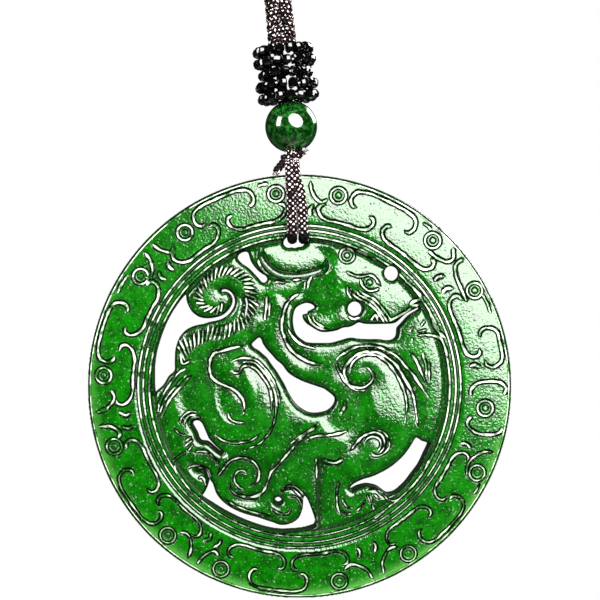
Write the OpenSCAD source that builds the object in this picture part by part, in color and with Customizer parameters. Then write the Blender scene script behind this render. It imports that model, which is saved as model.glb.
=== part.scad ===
// A pierced jade disc carved with a coiled beast inside a patterned ring.
// It hangs on a doubled cord under a jade bead, rows of seed beads and a braid,
// which divides into the cord that goes round the neck.
// Millimetres. The origin is at the nape, +Z is up and the carved face looks to -Y.

/* [Jade disc] */
// Diameter of the disc
disc_d = 60; // [56:1:64]
// Thickness of the ring
disc_t = 5; // [4.6:0.1:5.4]
// Radius of the worn outer edge
rim_round = 0.8; // [0.4:0.1:1]
// How far the ground between the carved forms lies under the ring's face
ground_drop = 0.9; // [0.6:0.1:1.4]
// Rise of each of the two terraces that build up the carved forms
terrace = 0.6; // [0.4:0.05:0.7]
// How far the upper terrace stands back from the edge of the lower one
terrace_inset = 0.6; // [0.5:0.05:0.8]
// Depth of the lines cut into the ring
line_depth = 0.35; // [0.2:0.05:0.5]
// Width of the lines cut into the ring
line_w = 0.4; // [0.3:0.05:0.5]

/* [Jade bead] */
// Diameter of the round bead
bead_d = 7.4; // [7:0.1:7.8]
// Diameter of the hole through it
bead_hole_d = 2; // [1.8:0.1:2.2]

/* [Seed beads] */
// Diameter of a seed bead, which is the thickness of a row
seed_d = 1.5; // [1.3:0.1:1.6]
// Distance from one row to the next
row_pitch = 1.65; // [1.6:0.05:1.8]

/* [Cords] */
// Diameter of the thin cord that carries the disc
strand_d = 1.3; // [1.1:0.1:1.35]
// Width of the braid where it enters the seed beads
braid_w = 4.1; // [3.8:0.1:4.2]
// Thickness of the braid from front to back
braid_t = 2.8; // [2.4:0.1:3.2]
// Length of the braid above the seed beads
braid_rise = 18; // [12:1:20]
// Diameter of the cord round the neck
neck_cord_d = 2.4; // [2:0.1:2.8]

/* [Place on the wearer] */
// Height of the nape above the middle of the disc
drop = 270; // [260:1:280]
// How far the disc lies in front of the nape
reach = 130; // [126:1:134]
// How far the seed beads and the braid lean to the left
lean = 6; // [4:0.5:7]

/* [Hidden] */
$fn = 48;

// The tables below are drawn for a disc of 60 mm
k = disc_d / 60;
disc_x = 4.3;
field_r = 21;       // inside this radius the disc is pierced and carved
border_r = 23.2;    // the moulding between the field and the ring ends here
groove_radii = [21.6, 22.2, 22.8];
groove_w = 0.36;
eye_pit_r = 0.32;
open_edge = 0.35;   // the forms start this far from an opening
face_z = disc_t / 2;
ground_z = face_z - ground_drop;

// The bead's middle, and the places on the line of bead, seed beads and braid, from it
bead_at = [-1.2 * k, 36.9 + (disc_d - 60) / 2];
first_row = 4.1;
// Radius of each row of seed beads, from the lowest one up
row_radii = [3.65, 3.75, 3.2, 3.75, 3.55];
braid_from = 4;
braid_to = 12 + braid_rise;
bead_lean = 1;

// Curves and strokes

// A point between p1 and p2 on the smooth curve that passes through all four points
function between(p0, p1, p2, p3, t) =
    p1 + (p2 - p0) * t / 2 + (2 * p0 - 5 * p1 + 4 * p2 - p3) * t * t / 2
    + (3 * p1 - p0 - 3 * p2 + p3) * t * t * t / 2;
// A smooth open line through a table of points, in pieces no longer than about step
function curve(p, step = 2) = let (n = len(p)) n < 3 ? p : concat(
    [for (i = [0 : n - 2]) let (m = ceil(norm(p[i + 1] - p[i]) / step)) for (s = [0 : m - 1])
        between(p[max(i - 1, 0)], p[i], p[i + 1], p[min(i + 2, n - 1)], s / m)],
    [p[n - 1]]);
// The same for a closed outline
function outline(p, step = 2.2) = let (n = len(p))
    [for (i = [0 : n - 1]) let (m = ceil(norm(p[(i + 1) % n] - p[i]) / step)) for (s = [0 : m - 1])
        between(p[(i + n - 1) % n], p[i], p[(i + 1) % n], p[(i + 2) % n], s / m)];
function unit(v) = v / norm(v);
function left_of(v) = [-v[1], v[0]];
function heading(line, i) = unit(line[min(i + 1, len(line) - 1)] - line[max(i - 1, 0)]);
// A cut of width w along a line, drawn out to a point-like end as a graver leaves it
function cut(line, w) = let (n = len(line) - 1,
    side = [for (i = [0 : n]) left_of(heading(line, i)) * w * (i == 0 || i == n ? 0.2 : 0.5)])
    concat([for (i = [0 : n]) line[i] + side[i]], [for (i = [n : -1 : 0]) line[i] - side[i]]);
// A point of the ring, from its angle and its radius
function polar(p) = [p[1] * cos(p[0]), p[1] * sin(p[0])];

module cuts(table) for (row = table) polygon(cut(curve(row[1]), row[0]));

// Openings of the pierced field, as smooth outlines

tail_gap = [[-16.3, 13], [-15.35, 10.7], [-13.7, 9.65], [-12.8, 9.6], [-12, 9.7], [-11.1, 10],
    [-10.3, 10.65], [-9.75, 11.5], [-9.6, 12.3], [-9.9, 13], [-10.5, 13.4], [-11.1, 13.35],
    [-11.1, 13.65], [-10.4, 13.7], [-9.6, 13.2], [-9.2, 12.3], [-9.3, 11.3], [-9.95, 10.3],
    [-10.9, 9.6], [-12, 9.25], [-12.8, 9.1], [-14.8, 8.6], [-16.7, 7.35], [-17.5, 5.6],
    [-17.7, 3.3], [-17.75, 2.2], [-18.5, 1.5], [-19.5, 0], [-20.6, -1.2], [-20.75, 0.8],
    [-20.7, 3], [-20.3, 5.4], [-19.2, 8.6], [-17.9, 11]];
ear_gap = [[-8.85, 18.2], [-8.6, 18.8], [-7.9, 19.1], [-7.4, 19], [-7.15, 18.5], [-6.9, 17.7],
    [-6.3, 16.8], [-5.6, 16.1], [-4.8, 15.6], [-4.6, 15.1], [-4.9, 14.7], [-5.35, 14.75],
    [-6.5, 16], [-8.3, 17.5]];
back_gap = [[-6.85, 5.85], [-6.45, 6.3], [-5.8, 6.85], [-5.45, 6.65], [-4.65, 5.2], [-3.3, 3.7],
    [-2.5, 3.05], [-1.5, 1.8], [0.3, 0.75], [2.4, 0], [4.2, -0.9], [5, -2.15], [4.7, -2.9],
    [4, -3.55], [3.1, -3.85], [2, -3.95], [0.3, -3.35], [-0.9, -2.2], [-2.1, 0], [-3.3, 2],
    [-4.65, 3.9], [-5.9, 5]];
throat_gap = [[1.45, 11.7], [0.8, 11.75], [0, 11.45], [-0.6, 10.95], [-0.95, 9.2], [-0.8, 8.1],
    [-0.4, 7.2], [0.4, 6.5], [1.35, 6.1], [4, 6.05], [5.9, 6.45], [7.6, 6.8], [10, 6.6],
    [12.4, 6.45], [13.3, 6.6], [13.75, 7.1], [13.95, 8.3], [15.4, 9.9], [16.95, 10.9],
    [16.85, 11.15], [15, 10.2], [13.3, 8.9], [12, 8.8], [9.4, 8.8], [8.4, 9], [7.1, 8.4],
    [5.3, 7.9], [3.2, 7.65], [1.6, 8.45], [0.5, 9.5], [0.45, 10.1], [1.15, 10.55],
    [2.1, 11.1], [2, 11.4]];
hind_gap = [[16.5, -7.3], [17.3, -7.75], [18.2, -8.05], [18.2, -8.55], [17.3, -10.5], [16, -12.5],
    [14.4, -14.4], [13.6, -15.05], [12.8, -15.3], [12.25, -15.25], [11.05, -14.4], [9.5, -14.05],
    [7.85, -14.5], [7.35, -14.75], [7.2, -14.35], [8.15, -13.55], [10.3, -12.8], [12.8, -11.5],
    [14.7, -9.85]];
floor_gap = [[-12.75, -13.3], [-12.3, -13.8], [-11.6, -15.5], [-9.85, -17.1], [-7.3, -18.2],
    [-4.7, -19], [-2.8, -19.65], [-2, -19.65], [-0.95, -19.3], [-0.1, -18.6], [0.5, -16.8],
    [0.55, -15.9], [0.8, -15.6], [1.15, -16.1], [2.1, -18.7], [2.1, -19.75], [1.5, -20.1],
    [0, -20.45], [-2.7, -20.6], [-6.7, -19.7], [-10.7, -17.9], [-14, -15.8], [-13.3, -14.8],
    [-13.05, -14.1]];
paw_gap = [[-15.25, -5.5], [-15.05, -5.1], [-14.6, -4.85], [-14.05, -5], [-13.4, -6.15],
    [-12.8, -7.45], [-11.3, -8.95], [-10.9, -9.3], [-11.2, -9.5], [-12.8, -8.2], [-14, -7.85],
    [-14.55, -6.8]];
// Saw cuts that run on from an opening: width, line
saw_cuts = [
    [0.35, [[-7.65, 12.35], [-7.5, 11.5], [-7.7, 10.1]]],
    [0.4, [[-12.85, -13.2], [-13.2, -12.3], [-13.75, -11.8], [-14.4, -11.75]]]];
// Drilled holes: place, radius
drilled = [[[7.85, 10.95], 1.02], [[13.05, 16], 1.05], [[-3.05, -16.2], 0.5]];
// The two holes side by side that the cord goes through, run together
bail = [[-0.85, 20.6], [0.4, 20.75]];
bail_r = 1.15;

// Lines of the beast: width, line

head_lines = [
    // Ear, a leaf in a deep hollow
    [0.8, [[-5.4, 19.6], [-5.35, 18.6], [-5, 17.6], [-4.2, 16.7], [-3.2, 16], [-2, 15.7], [0, 15.65],
        [1.5, 15.9], [2.8, 16.3], [3.6, 16.9], [3.75, 17.8]]],
    [0.3, [[-5.9, 17.9], [-5.5, 17], [-5, 16.3], [-4.3, 15.8]]],
    [0.35, [[-3.6, 14.75], [-1.9, 14.75]]],
    [0.35, [[-1.1, 14.95], [0.4, 15.15]]],
    // Crown, brow and lower lid
    [0.35, [[7.9, 19.25], [9.1, 18.8], [10.1, 18.3], [10.8, 17.85]]],
    [0.4, [[6.6, 16.2], [7.2, 15.85], [8.1, 15.55], [9, 15.55], [9.8, 15.75], [10.5, 15.5],
        [11, 14.8], [11.5, 14.1]]],
    [0.4, [[8.6, 15.1], [8.8, 14.4], [9.2, 13.9], [9.9, 13.5], [10.7, 13.6], [11.2, 13.9]]],
    // Straps round the jaw
    [0.35, [[7.2, 13.9], [7.7, 12.9], [8.6, 12.3], [9.6, 11.8], [10.4, 11.2], [11.1, 10.4],
        [11.7, 9.5], [11.95, 9]]],
    [0.35, [[8.4, 13.6], [9.2, 13], [10.3, 12.5], [11.1, 11.8], [12, 10.7], [12.9, 9.4]]],
    [0.3, [[6.75, 14.3], [6.8, 13.3], [7.3, 12.4]]],
    // Snout, nostril, lip and cheek
    [0.4, [[15, 14.9], [15.9, 14.1], [16.5, 13.5], [17.05, 12.9], [17, 12.3], [16.1, 12],
        [15.7, 11.1], [14.3, 10.1], [12.7, 9.2]]],
    [0.4, [[15.9, 11.4], [16.8, 11.4]]],
    [0.35, [[6.9, 9.9], [7.6, 9.5], [8.5, 9.7]]],
    [0.35, [[1.2, 10.1], [1.5, 9.3], [2.3, 8.5], [3.2, 8.1], [4.1, 8]]],
    // Ties at the nape
    [0.3, [[1.8, 15.6], [1.3, 14.8], [1.15, 13.8]]],
    [0.3, [[0.75, 14.8], [0.7, 13.8]]]];
neck_lines = [
    [0.5, [[0.2, 13.2], [-0.7, 12.8], [-1.5, 12], [-2, 11.1], [-2.5, 8.9], [-2.45, 7.9],
        [-2.1, 6.8], [-0.8, 4.8], [0.3, 4], [1.3, 3.5], [3.3, 3]]],
    [0.3, [[-1.8, 8.7], [-1.2, 7.3], [-0.4, 6.4], [0.5, 5.8], [2.3, 5.3]]],
    [0.4, [[-4.65, 13], [-4.65, 11.5], [-4.85, 10.2], [-4.9, 9.3]]],
    [0.3, [[-4.2, 11.9], [-4.3, 10]]]];
flank_lines = [
    // The scroll that ends in a curl on the haunch
    [0.5, [[-7.6, 5.7], [-8.7, 5.6], [-10, 5.3], [-11.9, 4.7], [-12.7, 3.3], [-12.4, 1.3],
        [-11.6, 0.6], [-10.5, 0.1], [-8.7, -0.9], [-8, -1.9], [-7.8, -2.9], [-7.9, -3.9]]],
    [0.35, [[-10.1, -3.6], [-9.9, -4.4], [-9.3, -4.9], [-8.5, -5.1], [-7.6, -5.1]]],
    // Rim of the haunch, three lines side by side
    [0.4, [[-9.6, 2.3], [-9.2, 1.9], [-8.5, 2], [-8.1, 2.7], [-6.9, 2.9], [-6, 2.3], [-5.2, 1.3],
        [-4.4, 0.1], [-4, -1.1], [-3.9, -2.4], [-4.1, -3.7]]],
    [0.3, [[-8, 3.4], [-7.2, 3.5], [-6.3, 3.3], [-5.3, 2.4], [-4.4, 1.2], [-3.5, -0.1], [-3.2, -1.6],
        [-3.2, -3.1], [-3.5, -4.7], [-4, -6.1], [-4.8, -7.2], [-5.7, -8.1], [-7.9, -9.1]]],
    [0.3, [[-9.6, 3.5], [-8.7, 3.9], [-7.3, 4], [-6, 3.6], [-4.8, 2.6], [-3.4, 0.8], [-2.6, -0.7],
        [-2.4, -2.4]]],
    [0.35, [[-12, -6.8], [-10.7, -7.7], [-8.7, -7.95], [-6.8, -7.6], [-5.4, -6.6]]],
    // Hook and long lines on the left flank
    [0.35, [[-16.9, 4.7], [-16.7, 3.7], [-16, 3.3], [-15.4, 3.7]]],
    [0.35, [[-16.1, 2.5], [-17.1, 1.9], [-18, 0.8], [-18.8, -0.4], [-19.5, -1.6], [-20, -3.7]]],
    [0.35, [[-15.2, 1.6], [-16.1, 0.8], [-16.9, -0.1], [-18.7, -2.5], [-19.5, -4.5]]]];
paw_lines = [
    [0.35, [[-16.9, -5.3], [-16.7, -4.5], [-16, -3.8], [-15.2, -3.5], [-14.5, -3.7]]],
    [0.3, [[-15.5, -5.7], [-15.3, -4.8], [-14.5, -4.3], [-13.6, -4.6], [-13.1, -5.7],
        [-12.6, -6.8]]],
    [0.35, [[-17.6, -5.9], [-17.3, -6.4], [-16.7, -6.8], [-16, -6.9]]],
    [0.3, [[-15.2, -7.1], [-16.3, -7.9]]],
    [0.3, [[-15, -8.2], [-15.8, -9.2]]]];
scroll_lines = [
    [0.35, [[-14.9, -9.3], [-14, -9.2], [-13.1, -9.3], [-12.3, -9.9], [-11.7, -10.5],
        [-11.5, -11.1]]],
    [0.35, [[-17.7, -11.1], [-17.5, -11.9], [-16.8, -12.9], [-15.3, -14.8], [-14.7, -15.3]]],
    [0.3, [[-15.9, -11.6], [-15.3, -11.2], [-14.4, -11], [-13.4, -11.2], [-12.6, -11.9],
        [-12.3, -12.8]]],
    [0.3, [[-18, -10.7], [-16.7, -9.6], [-16, -9.3]]],
    // Big curl under the haunch and the wave that runs on from it
    [0.5, [[-11.5, -12.5], [-10.8, -11.7], [-10.1, -10.8], [-9.3, -10.3], [-8.4, -10.1],
        [-7.2, -10.3], [-6.4, -10.8], [-5.8, -11.7], [-5.7, -12.7], [-6.1, -13.6], [-7.1, -14.1]]],
    [0.4, [[-7.5, -12.3], [-8, -11.9], [-8.8, -12.1], [-9.2, -12.8], [-9.1, -13.6], [-8.5, -14.3],
        [-7.9, -14.5]]],
    [0.4, [[-9.8, -13.6], [-9.7, -14.5], [-9.1, -15.2], [-8.3, -15.5], [-7.2, -15.7], [-6, -15.5],
        [-5.2, -14.9], [-4.7, -14], [-4, -12.1], [-3.2, -11.3], [-2, -9.9], [-0.9, -8.7],
        [-0.1, -7.7], [0.9, -6.7], [2, -6], [2.7, -5.3]]],
    // Small curl above the floor gap
    [0.35, [[-2.9, -14.8], [-1.6, -13.9], [-0.7, -13.9], [0.2, -14.5]]],
    [0.3, [[-1.9, -15.4], [-0.8, -15.2], [-0.1, -15.7], [0, -16.6]]],
    [0.35, [[-3.9, -17.2], [-3.3, -17.7], [-2.5, -18], [-1.6, -17.9], [-1.2, -17.2]]]];
leg_lines = [
    [0.5, [[3.2, -10.8], [2.9, -12], [2.8, -13.3], [2.7, -19]]],
    [0.35, [[5.7, -13.3], [5.3, -14.7], [5.3, -16.7], [5.7, -18]]],
    [0.4, [[0.9, -7.7], [1.5, -7.3], [2.5, -7], [4.1, -6.9], [5.3, -6.7], [6.7, -6.3]]],
    [0.45, [[6.9, -9.2], [7.5, -8.7], [8.1, -7.9], [8.8, -7.2], [9.7, -6.7], [10.7, -6.5],
        [11.6, -6.9], [12, -7.7], [11.9, -8.7], [11.2, -9.5]]],
    [0.35, [[9.2, -7.9], [9.7, -7.3], [10.5, -7.3], [11, -7.9], [10.8, -8.7]]],
    [0.3, [[10.1, -9.2], [10.4, -9.9], [11.4, -10.1], [12.3, -9.6], [13, -8.4], [12.9, -7],
        [12, -6.1], [10.8, -5.8]]],
    [0.6, [[3.7, -10.5], [4.4, -10.7], [5.3, -11], [6, -10.8]]],
    [0.4, [[6.5, -2.1], [6.3, -3], [5.8, -3.9]]],
    // Toes
    [0.3, [[6, -15.9], [6.3, -16.5], [6.8, -17.1], [7.6, -17.2]]],
    [0.3, [[9.3, -15.4], [8.9, -16.6], [8.1, -17.6]]],
    [0.3, [[10.4, -18.8], [11.6, -17.9], [12.7, -16.9], [13.1, -16.5]]]];
shoulder_lines = [
    [0.4, [[5.1, 3.6], [5.7, 4.3], [6.7, 4.9], [7.7, 5.5], [8.9, 5.75], [10, 5.8], [11.3, 5.6],
        [12.7, 5], [14, 4.1], [14.9, 3.1], [16.7, 0.7], [18.2, -1.5]]],
    [0.5, [[8.7, 2.7], [9.5, 2.7], [10.1, 2.1], [10.4, 1.3], [10, 0.5], [9.2, -0.1], [8.3, -0.2],
        [7.3, 0.1], [6.7, 0.9], [6.3, 1.9], [6.5, 2.8], [7.2, 3.7], [8, 4.4], [8.9, 4.8],
        [10, 4.9], [11.3, 4.7], [12.5, 4], [13.6, 3.1], [14.4, 1.9], [15.2, 0.5], [15.9, -0.8],
        [16.3, -2.4], [16.5, -4], [16.7, -5.7]]],
    [0.3, [[7.6, 2.4], [8, 3.4], [8.9, 4], [10, 4.1], [11.1, 3.9], [12.1, 3.1], [13, 2],
        [13.8, 0.7], [14.4, -0.7], [14.7, -2.1], [14.8, -3.3], [14.6, -5.3]]],
    [0.3, [[5.3, 3.2], [5.4, 2.4], [5.9, 1.4], [6.4, 0.3], [7.2, -0.5], [8.1, -0.9],
        [9.5, -0.8]]],
    // Feathers behind the shoulder
    [0.35, [[15.6, 4.9], [16.3, 4.1], [16.9, 3.1], [17.5, 1.8], [18.1, 0.4]]],
    [0.3, [[17.4, 4.8], [17.9, 3.7], [18.3, 2.7], [18.6, 1.5]]],
    // Raised forepaw
    [0.35, [[16.5, 7.1], [17.6, 7.3], [19.1, 7.1], [20, 6.7], [20.5, 5.6]]],
    [0.3, [[15.5, 7.7], [16, 8.4]]],
    [0.3, [[17.7, 9.3], [17.1, 8.5]]]];

// The line along the middle of the hairy tail, and the length of the hairs on it
tail_line = [[-17, 4.6], [-15.5, 6.2], [-13, 7.4], [-10.5, 7.9], [-8.3, 8.9], [-7, 10.8],
    [-6.7, 13], [-7.7, 15.2], [-9.8, 16.3], [-12, 15.9], [-13.6, 14.4]];
hair_reach = 0.85;
hair_w = 0.3;

// Pattern of the ring, in degrees from the right and millimetres from the middle

// Cups that open outward: first angle, last angle
cups = [[10, 29.8], [42.4, 61.6], [66, 83.5], [95, 113.2], [117.7, 134.3], [144.7, 162.8],
    [167, 185.5], [198, 215.5], [218.8, 235.5], [247, 264.8], [267.8, 285.3], [300, 316.2],
    [321.5, 337.6]];
cup_floor = 23.9;
cup_top = 25.8;
// Arches that open inward: first angle, last angle
arches = [[6, 17.2], [54.2, 74.3], [104, 122.3], [155, 172.5], [206, 223.5], [255.3, 272],
    [308.8, 325]];
arch_top = 28.8;
arch_foot = 26.5;
// Round eyes: angle, radius from the middle
eyes = [[28.7, 27.9], [47.6, 27.8], [78.5, 27.5], [97, 27.4], [126.7, 27.1], [145.3, 27.3],
    [176.8, 27.7], [198, 27.5], [228.5, 27.9], [246.7, 27.9], [281.5, 27.9], [303, 27.9],
    [334, 27.8], [353.3, 26.6]];
eye_r = 1.05;
// Hooks that lead from an eye up to the rim: first angle, last angle
hooks = [[27, 37], [47, 40], [81.5, 88], [131.5, 136.5], [143, 139.2], [181.5, 187.3],
    [193.5, 189.5], [232, 237], [242.5, 239.2], [286, 291.3], [300, 294.3], [336.5, 342]];
// Short ticks near the moulding, one angle each
ticks = [38.3, 33, 88.5, 141.3, 137, 193.2, 188.8, 238.8, 242.5, 289.5, 295, 341];
// Brackets round the lone eye
brackets = [
    [[350, 24.7], [348.5, 24.3], [346.5, 24.7], [345.3, 26], [345.8, 27.6], [348.5, 28.8]],
    [[357, 28.7], [359.5, 28.7], [361, 27.8], [361, 26.3], [360, 25], [357, 24.4]]];

// The carved face, drawn flat

module round_gap(at, r) translate(at) circle(r, $fn = 24);

module openings_drawing() scale(k) {
    for (gap = [tail_gap, ear_gap, back_gap, throat_gap, hind_gap, floor_gap, paw_gap])
        polygon(outline(gap));
    cuts(saw_cuts);
}

module drill_holes(h) {
    for (d = drilled) translate([d[0][0] * k, d[0][1] * k, -h / 2]) cylinder(r = d[1] * k, h = h);
    for (c = bail) translate([c[0] * k, c[1] * k, -h / 2]) cylinder(r = bail_r * k, h = h);
    translate([bail[0][0] * k, (bail[0][1] - bail_r * 0.95) * k, -h / 2])
        cube([(bail[1][0] - bail[0][0]) * k, bail_r * 1.9 * k, h]);
}

module hair_cuts() {
    line = curve(tail_line, 0.7);
    for (i = [1 : len(line) - 2]) let (across = left_of(heading(line, i)), on = heading(line, i))
        polygon(cut([line[i] - across * hair_reach - on * 0.35,
            line[i] + across * hair_reach + on * 0.35], hair_w));
}

// Everything inside the field that stands above the ground
module forms_drawing() difference() {
    scale(k) circle(field_r - 0.3, $fn = 72);
    offset(delta = open_edge, chamfer = true) openings_drawing();
    scale(k) {
        for (table = [head_lines, neck_lines, flank_lines, paw_lines, scroll_lines, leg_lines,
            shoulder_lines]) cuts(table);
        hair_cuts();
        for (d = drilled) round_gap(d[0], d[1] + open_edge);
        for (c = bail) round_gap(c, bail_r + open_edge + 0.15);
    }
}

module ring_cuts_drawing() scale(k) {
    w = line_w;
    for (c = cups) let (a = c[0], b = c[1], m = (b - a) / 6, floor_r = cup_floor)
        polygon(cut(curve([polar([a + 1.2, cup_top + 0.3]), polar([a - 0.3, cup_top - 0.4]),
            polar([a + 0.6, floor_r + 0.5]), polar([a + m, floor_r]), polar([a + 2 * m, floor_r]),
            polar([a + 3 * m, floor_r]), polar([a + 4 * m, floor_r]), polar([b - m, floor_r]),
            polar([b - 0.6, floor_r + 0.5]), polar([b + 0.3, cup_top - 0.4]),
            polar([b - 1.2, cup_top + 0.3])]), w));
    for (c = arches) let (a = c[0], b = c[1], m = (b - a) / 6)
        polygon(cut(curve([polar([a + 1.6, arch_foot]), polar([a + 0.2, arch_foot + 0.7]),
            polar([a + 0.5, arch_top - 0.5]), polar([a + m * 1.2, arch_top]),
            polar([a + 2 * m, arch_top]), polar([a + 3 * m, arch_top]),
            polar([a + 4 * m, arch_top]), polar([b - m * 1.2, arch_top]),
            polar([b - 0.5, arch_top - 0.5]), polar([b - 0.2, arch_foot + 0.7]),
            polar([b - 1.6, arch_foot])]), w));
    for (h = hooks) let (a = h[0], b = h[1], m = (b - a) / 3)
        polygon(cut(curve([polar([a, 26.4]), polar([a + m, 26.1]), polar([a + 2 * m, 26.6]),
            polar([b, 28.6])]), w));
    for (t = ticks) polygon(cut([polar([t, 24.1]), polar([t, 25.6])], w));
    for (b = brackets) polygon(cut(curve([for (p = b) polar(p)]), w));
}

// The jade disc

// Puts something drawn round the disc's middle where the disc hangs on the wearer
module on_wearer() translate([disc_x, -reach, -drop]) children();

module eye_cuts() for (e = eyes)
    translate([for (c = polar(e)) c * k]) translate([0, 0, face_z - line_depth]) {
        difference() {
            cylinder(r = eye_r, h = 1);
            translate([0, 0, -1]) cylinder(r = eye_r - line_w, h = 3);
        }
        cylinder(r = eye_pit_r, h = 1);
    }

// Half of the disc's section: a plain back, a round rim, the ring's face, the moulding
// of three fine grooves and the ground of the field
module section() {
    r = disc_d / 2;
    b = border_r * k;
    f = field_r * k;
    difference() {
        union() {
            translate([0, -face_z]) square([f, face_z + ground_z]);
            translate([f - 0.5, -face_z]) square([b - f + 0.5, disc_t - 0.15]);
            translate([b - 0.1, -face_z]) square([r - rim_round - b + 0.1, disc_t]);
            translate([r - rim_round - 0.1, -face_z + rim_round])
                square([rim_round + 0.1, disc_t - 2 * rim_round]);
            for (z = [-1, 1]) translate([r - rim_round, z * (face_z - rim_round)])
                circle(rim_round);
        }
        for (g = groove_radii)
            translate([g * k, face_z - 0.15]) rotate(45) square(groove_w, center = true);
    }
}

module jade_disc() color("forestgreen") on_wearer() rotate([90, 0, 0]) difference() {
    union() {
        rotate_extrude($fn = 96) section();
        linear_extrude(ground_z + terrace) offset(delta = 0) forms_drawing();
        linear_extrude(ground_z + 2 * terrace)
            offset(delta = -terrace_inset, chamfer = true) forms_drawing();
    }
    translate([0, 0, -disc_t]) linear_extrude(2 * disc_t) offset(delta = 0) openings_drawing();
    drill_holes(2 * disc_t);
    translate([0, 0, face_z - line_depth]) linear_extrude(1) offset(delta = 0)
        ring_cuts_drawing();
    eye_cuts();
}

// The bead, the seed beads and the cords

// The bead's own line, and the leaning line of seed beads and braid above it. Both have
// their zero at the bead's middle.
module on_bead(turn = bead_lean) on_wearer() translate([bead_at[0], 0, bead_at[1]])
    rotate([0, -turn, 0]) children();
module on_lean() on_bead(lean) children();
function on_lean_point(p) = [
    disc_x + bead_at[0] + p[0] * cos(lean) - p[2] * sin(lean),
    p[1] - reach,
    bead_at[1] - drop + p[0] * sin(lean) + p[2] * cos(lean)];

// A closed tube along a line: sides round it, half width a and half thickness b
function frame_x(t) = unit(cross(abs(t[1]) > 0.9 ? [0, 0, 1] : [0, 1, 0], t));
function ring_at(p, t, a, b, sides) = let (u = frame_x(t), v = cross(t, u))
    [for (j = [0 : sides - 1]) let (q = 360 * j / sides) p + u * a * cos(q) + v * b * sin(q)];
module tube(line, a, b, sides) {
    n = len(line);
    points = [for (i = [0 : n - 1]) each ring_at(line[i],
        unit(line[min(i + 1, n - 1)] - line[max(i - 1, 0)]), a, b, sides)];
    walls = [for (i = [0 : n - 2], j = [0 : sides - 1]) let (m = (j + 1) % sides)
        [i * sides + j, (i + 1) * sides + j, (i + 1) * sides + m, i * sides + m]];
    polyhedron(points, concat(walls, [[for (j = [0 : sides - 1]) j],
        [for (j = [sides - 1 : -1 : 0]) (n - 1) * sides + j]]), convexity = 8);
}

// Where each thin strand runs on the front of the ring, from the knot to the hole in it
left_route = [[-1.45, -0.7, 31.05], [-1.45, -1.3, 30.98], [-1.45, -2.25, 30.75],
    [-1.45, -3, 30.15], [-1.4, -3.35, 29], [-1.3, -3.4, 27], [-1.2, -3.3, 24.8], [-1.1, -3.3, 22.6],
    [-1.1, -3.2, 21.6], [-1.1, -2.7, 21], [-1.1, -1.5, 20.9]];
right_route = [[-0.1, -0.7, 31.05], [-0.1, -1.3, 30.98], [-0.1, -2.25, 30.75],
    [-0.05, -3, 30.15], [0, -3.35, 29], [0.2, -3.4, 27], [0.3, -3.3, 24.8], [0.5, -3.3, 22.6],
    [0.6, -3.2, 21.6], [0.6, -2.7, 21], [0.6, -1.5, 20.9]];
function round_the_ring(route) = let (n = len(route)) [for (p = concat(route,
    [for (i = [n - 1 : -1 : 0]) [route[i][0], -route[i][1], route[i][2]]]))
    [p[0] * k, p[1] * disc_t / 5, p[2] * k]];

module strand(route) color("saddlebrown") on_wearer()
    tube(curve(round_the_ring(route), 2), strand_d / 2, strand_d / 2, 8);
module left_strand() strand(left_route);
module right_strand() strand(right_route);

// A flattened knot under the bead, with its two cut ends
module knot_end(from, to) let (d = to - from) translate(from)
    rotate([0, acos(d[2] / norm(d)), atan2(d[1], d[0])]) cylinder(d1 = 0.9, d2 = 0.5, h = norm(d));
module strand_knot() color("saddlebrown") on_wearer() {
    translate([-1.25, 0, 32.5 + (disc_d - 60) / 2]) {
        cylinder(r = 1.05, h = 0.9, center = true);
        knot_end([-0.4, -0.5, 0], [-2.4, -2, -2.15]);
        knot_end([0.3, -0.5, -0.05], [2, -0.9, 0.85]);
    }
}

module jade_bead() color("darkgreen") on_bead() difference() {
    sphere(d = bead_d);
    cylinder(d = bead_hole_d, h = bead_d * 2, center = true);
}

// The strands' way through the bead
module bead_core() color("saddlebrown") on_bead()
    translate([0, 0, 0.2 - bead_d / 2]) cylinder(d = bead_hole_d - 0.2, h = bead_d / 2 + 3.55);

module seed_bead_rows() color("black") on_lean() rotate_extrude() difference() {
    union() {
        translate([2.3, first_row - 0.4]) square([0.9, 4 * row_pitch + 0.8]);
        for (i = [0 : 4]) translate([row_radii[i], first_row + i * row_pitch]) circle(d = seed_d);
    }
    translate([0, first_row - 2]) square([2.3, 4 * row_pitch + 4]);
}

module braid() color("saddlebrown") tube([for (i = [0 : 8]) on_lean_point(
    [0, 0, braid_from + (braid_to - braid_from) * i / 8])], braid_w / 2 - 0.1, braid_t / 2, 12);

// Right half of the way round the neck, from the nape to the top of the braid
neck_route = [[0, 1.2, 0], [20, 0, -1], [38, -9, -4], [52, -24, -10], [60, -44, -20],
    [62, -64, -33], [60, -84, -50], [54, -101, -70], [46, -114, -94], [36, -122, -120],
    [26, -127, -146], [16, -129, -172], [7, -130, -192]];
function mirrored(p) = [-p[0], p[1], p[2]];
module neck_cord() color("saddlebrown") {
    n = len(neck_route) - 1;
    half = [for (p = neck_route) p - [0, (reach - 130) * min(1, -p[2] / 70), 0]
        + [0, 0, (270 - drop) * p[2] / -200]];
    way = concat([on_lean_point([-1.25, 0, braid_to + 0.1]), on_lean_point([-1.3, 0, braid_to + 2])],
        [for (i = [n : -1 : 1]) mirrored(half[i])], half,
        [on_lean_point([1.3, 0, braid_to + 2]), on_lean_point([1.25, 0, braid_to + 0.1])]);
    tube(curve(way, 10), neck_cord_d / 2, neck_cord_d / 2, 8);
}

jade_disc();
left_strand();
right_strand();
strand_knot();
jade_bead();
bead_core();
seed_bead_rows();
braid();
neck_cord();
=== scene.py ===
"""A jade pendant on its cord: a pierced disc carved with a coiled beast, a jade bead, rows of
seed beads, a braid and the cord round the neck. Carving is laid out in millimetres on the
disc's face, x to the right and z up from its middle, and everything is built in metres."""

import math
import random

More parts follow.
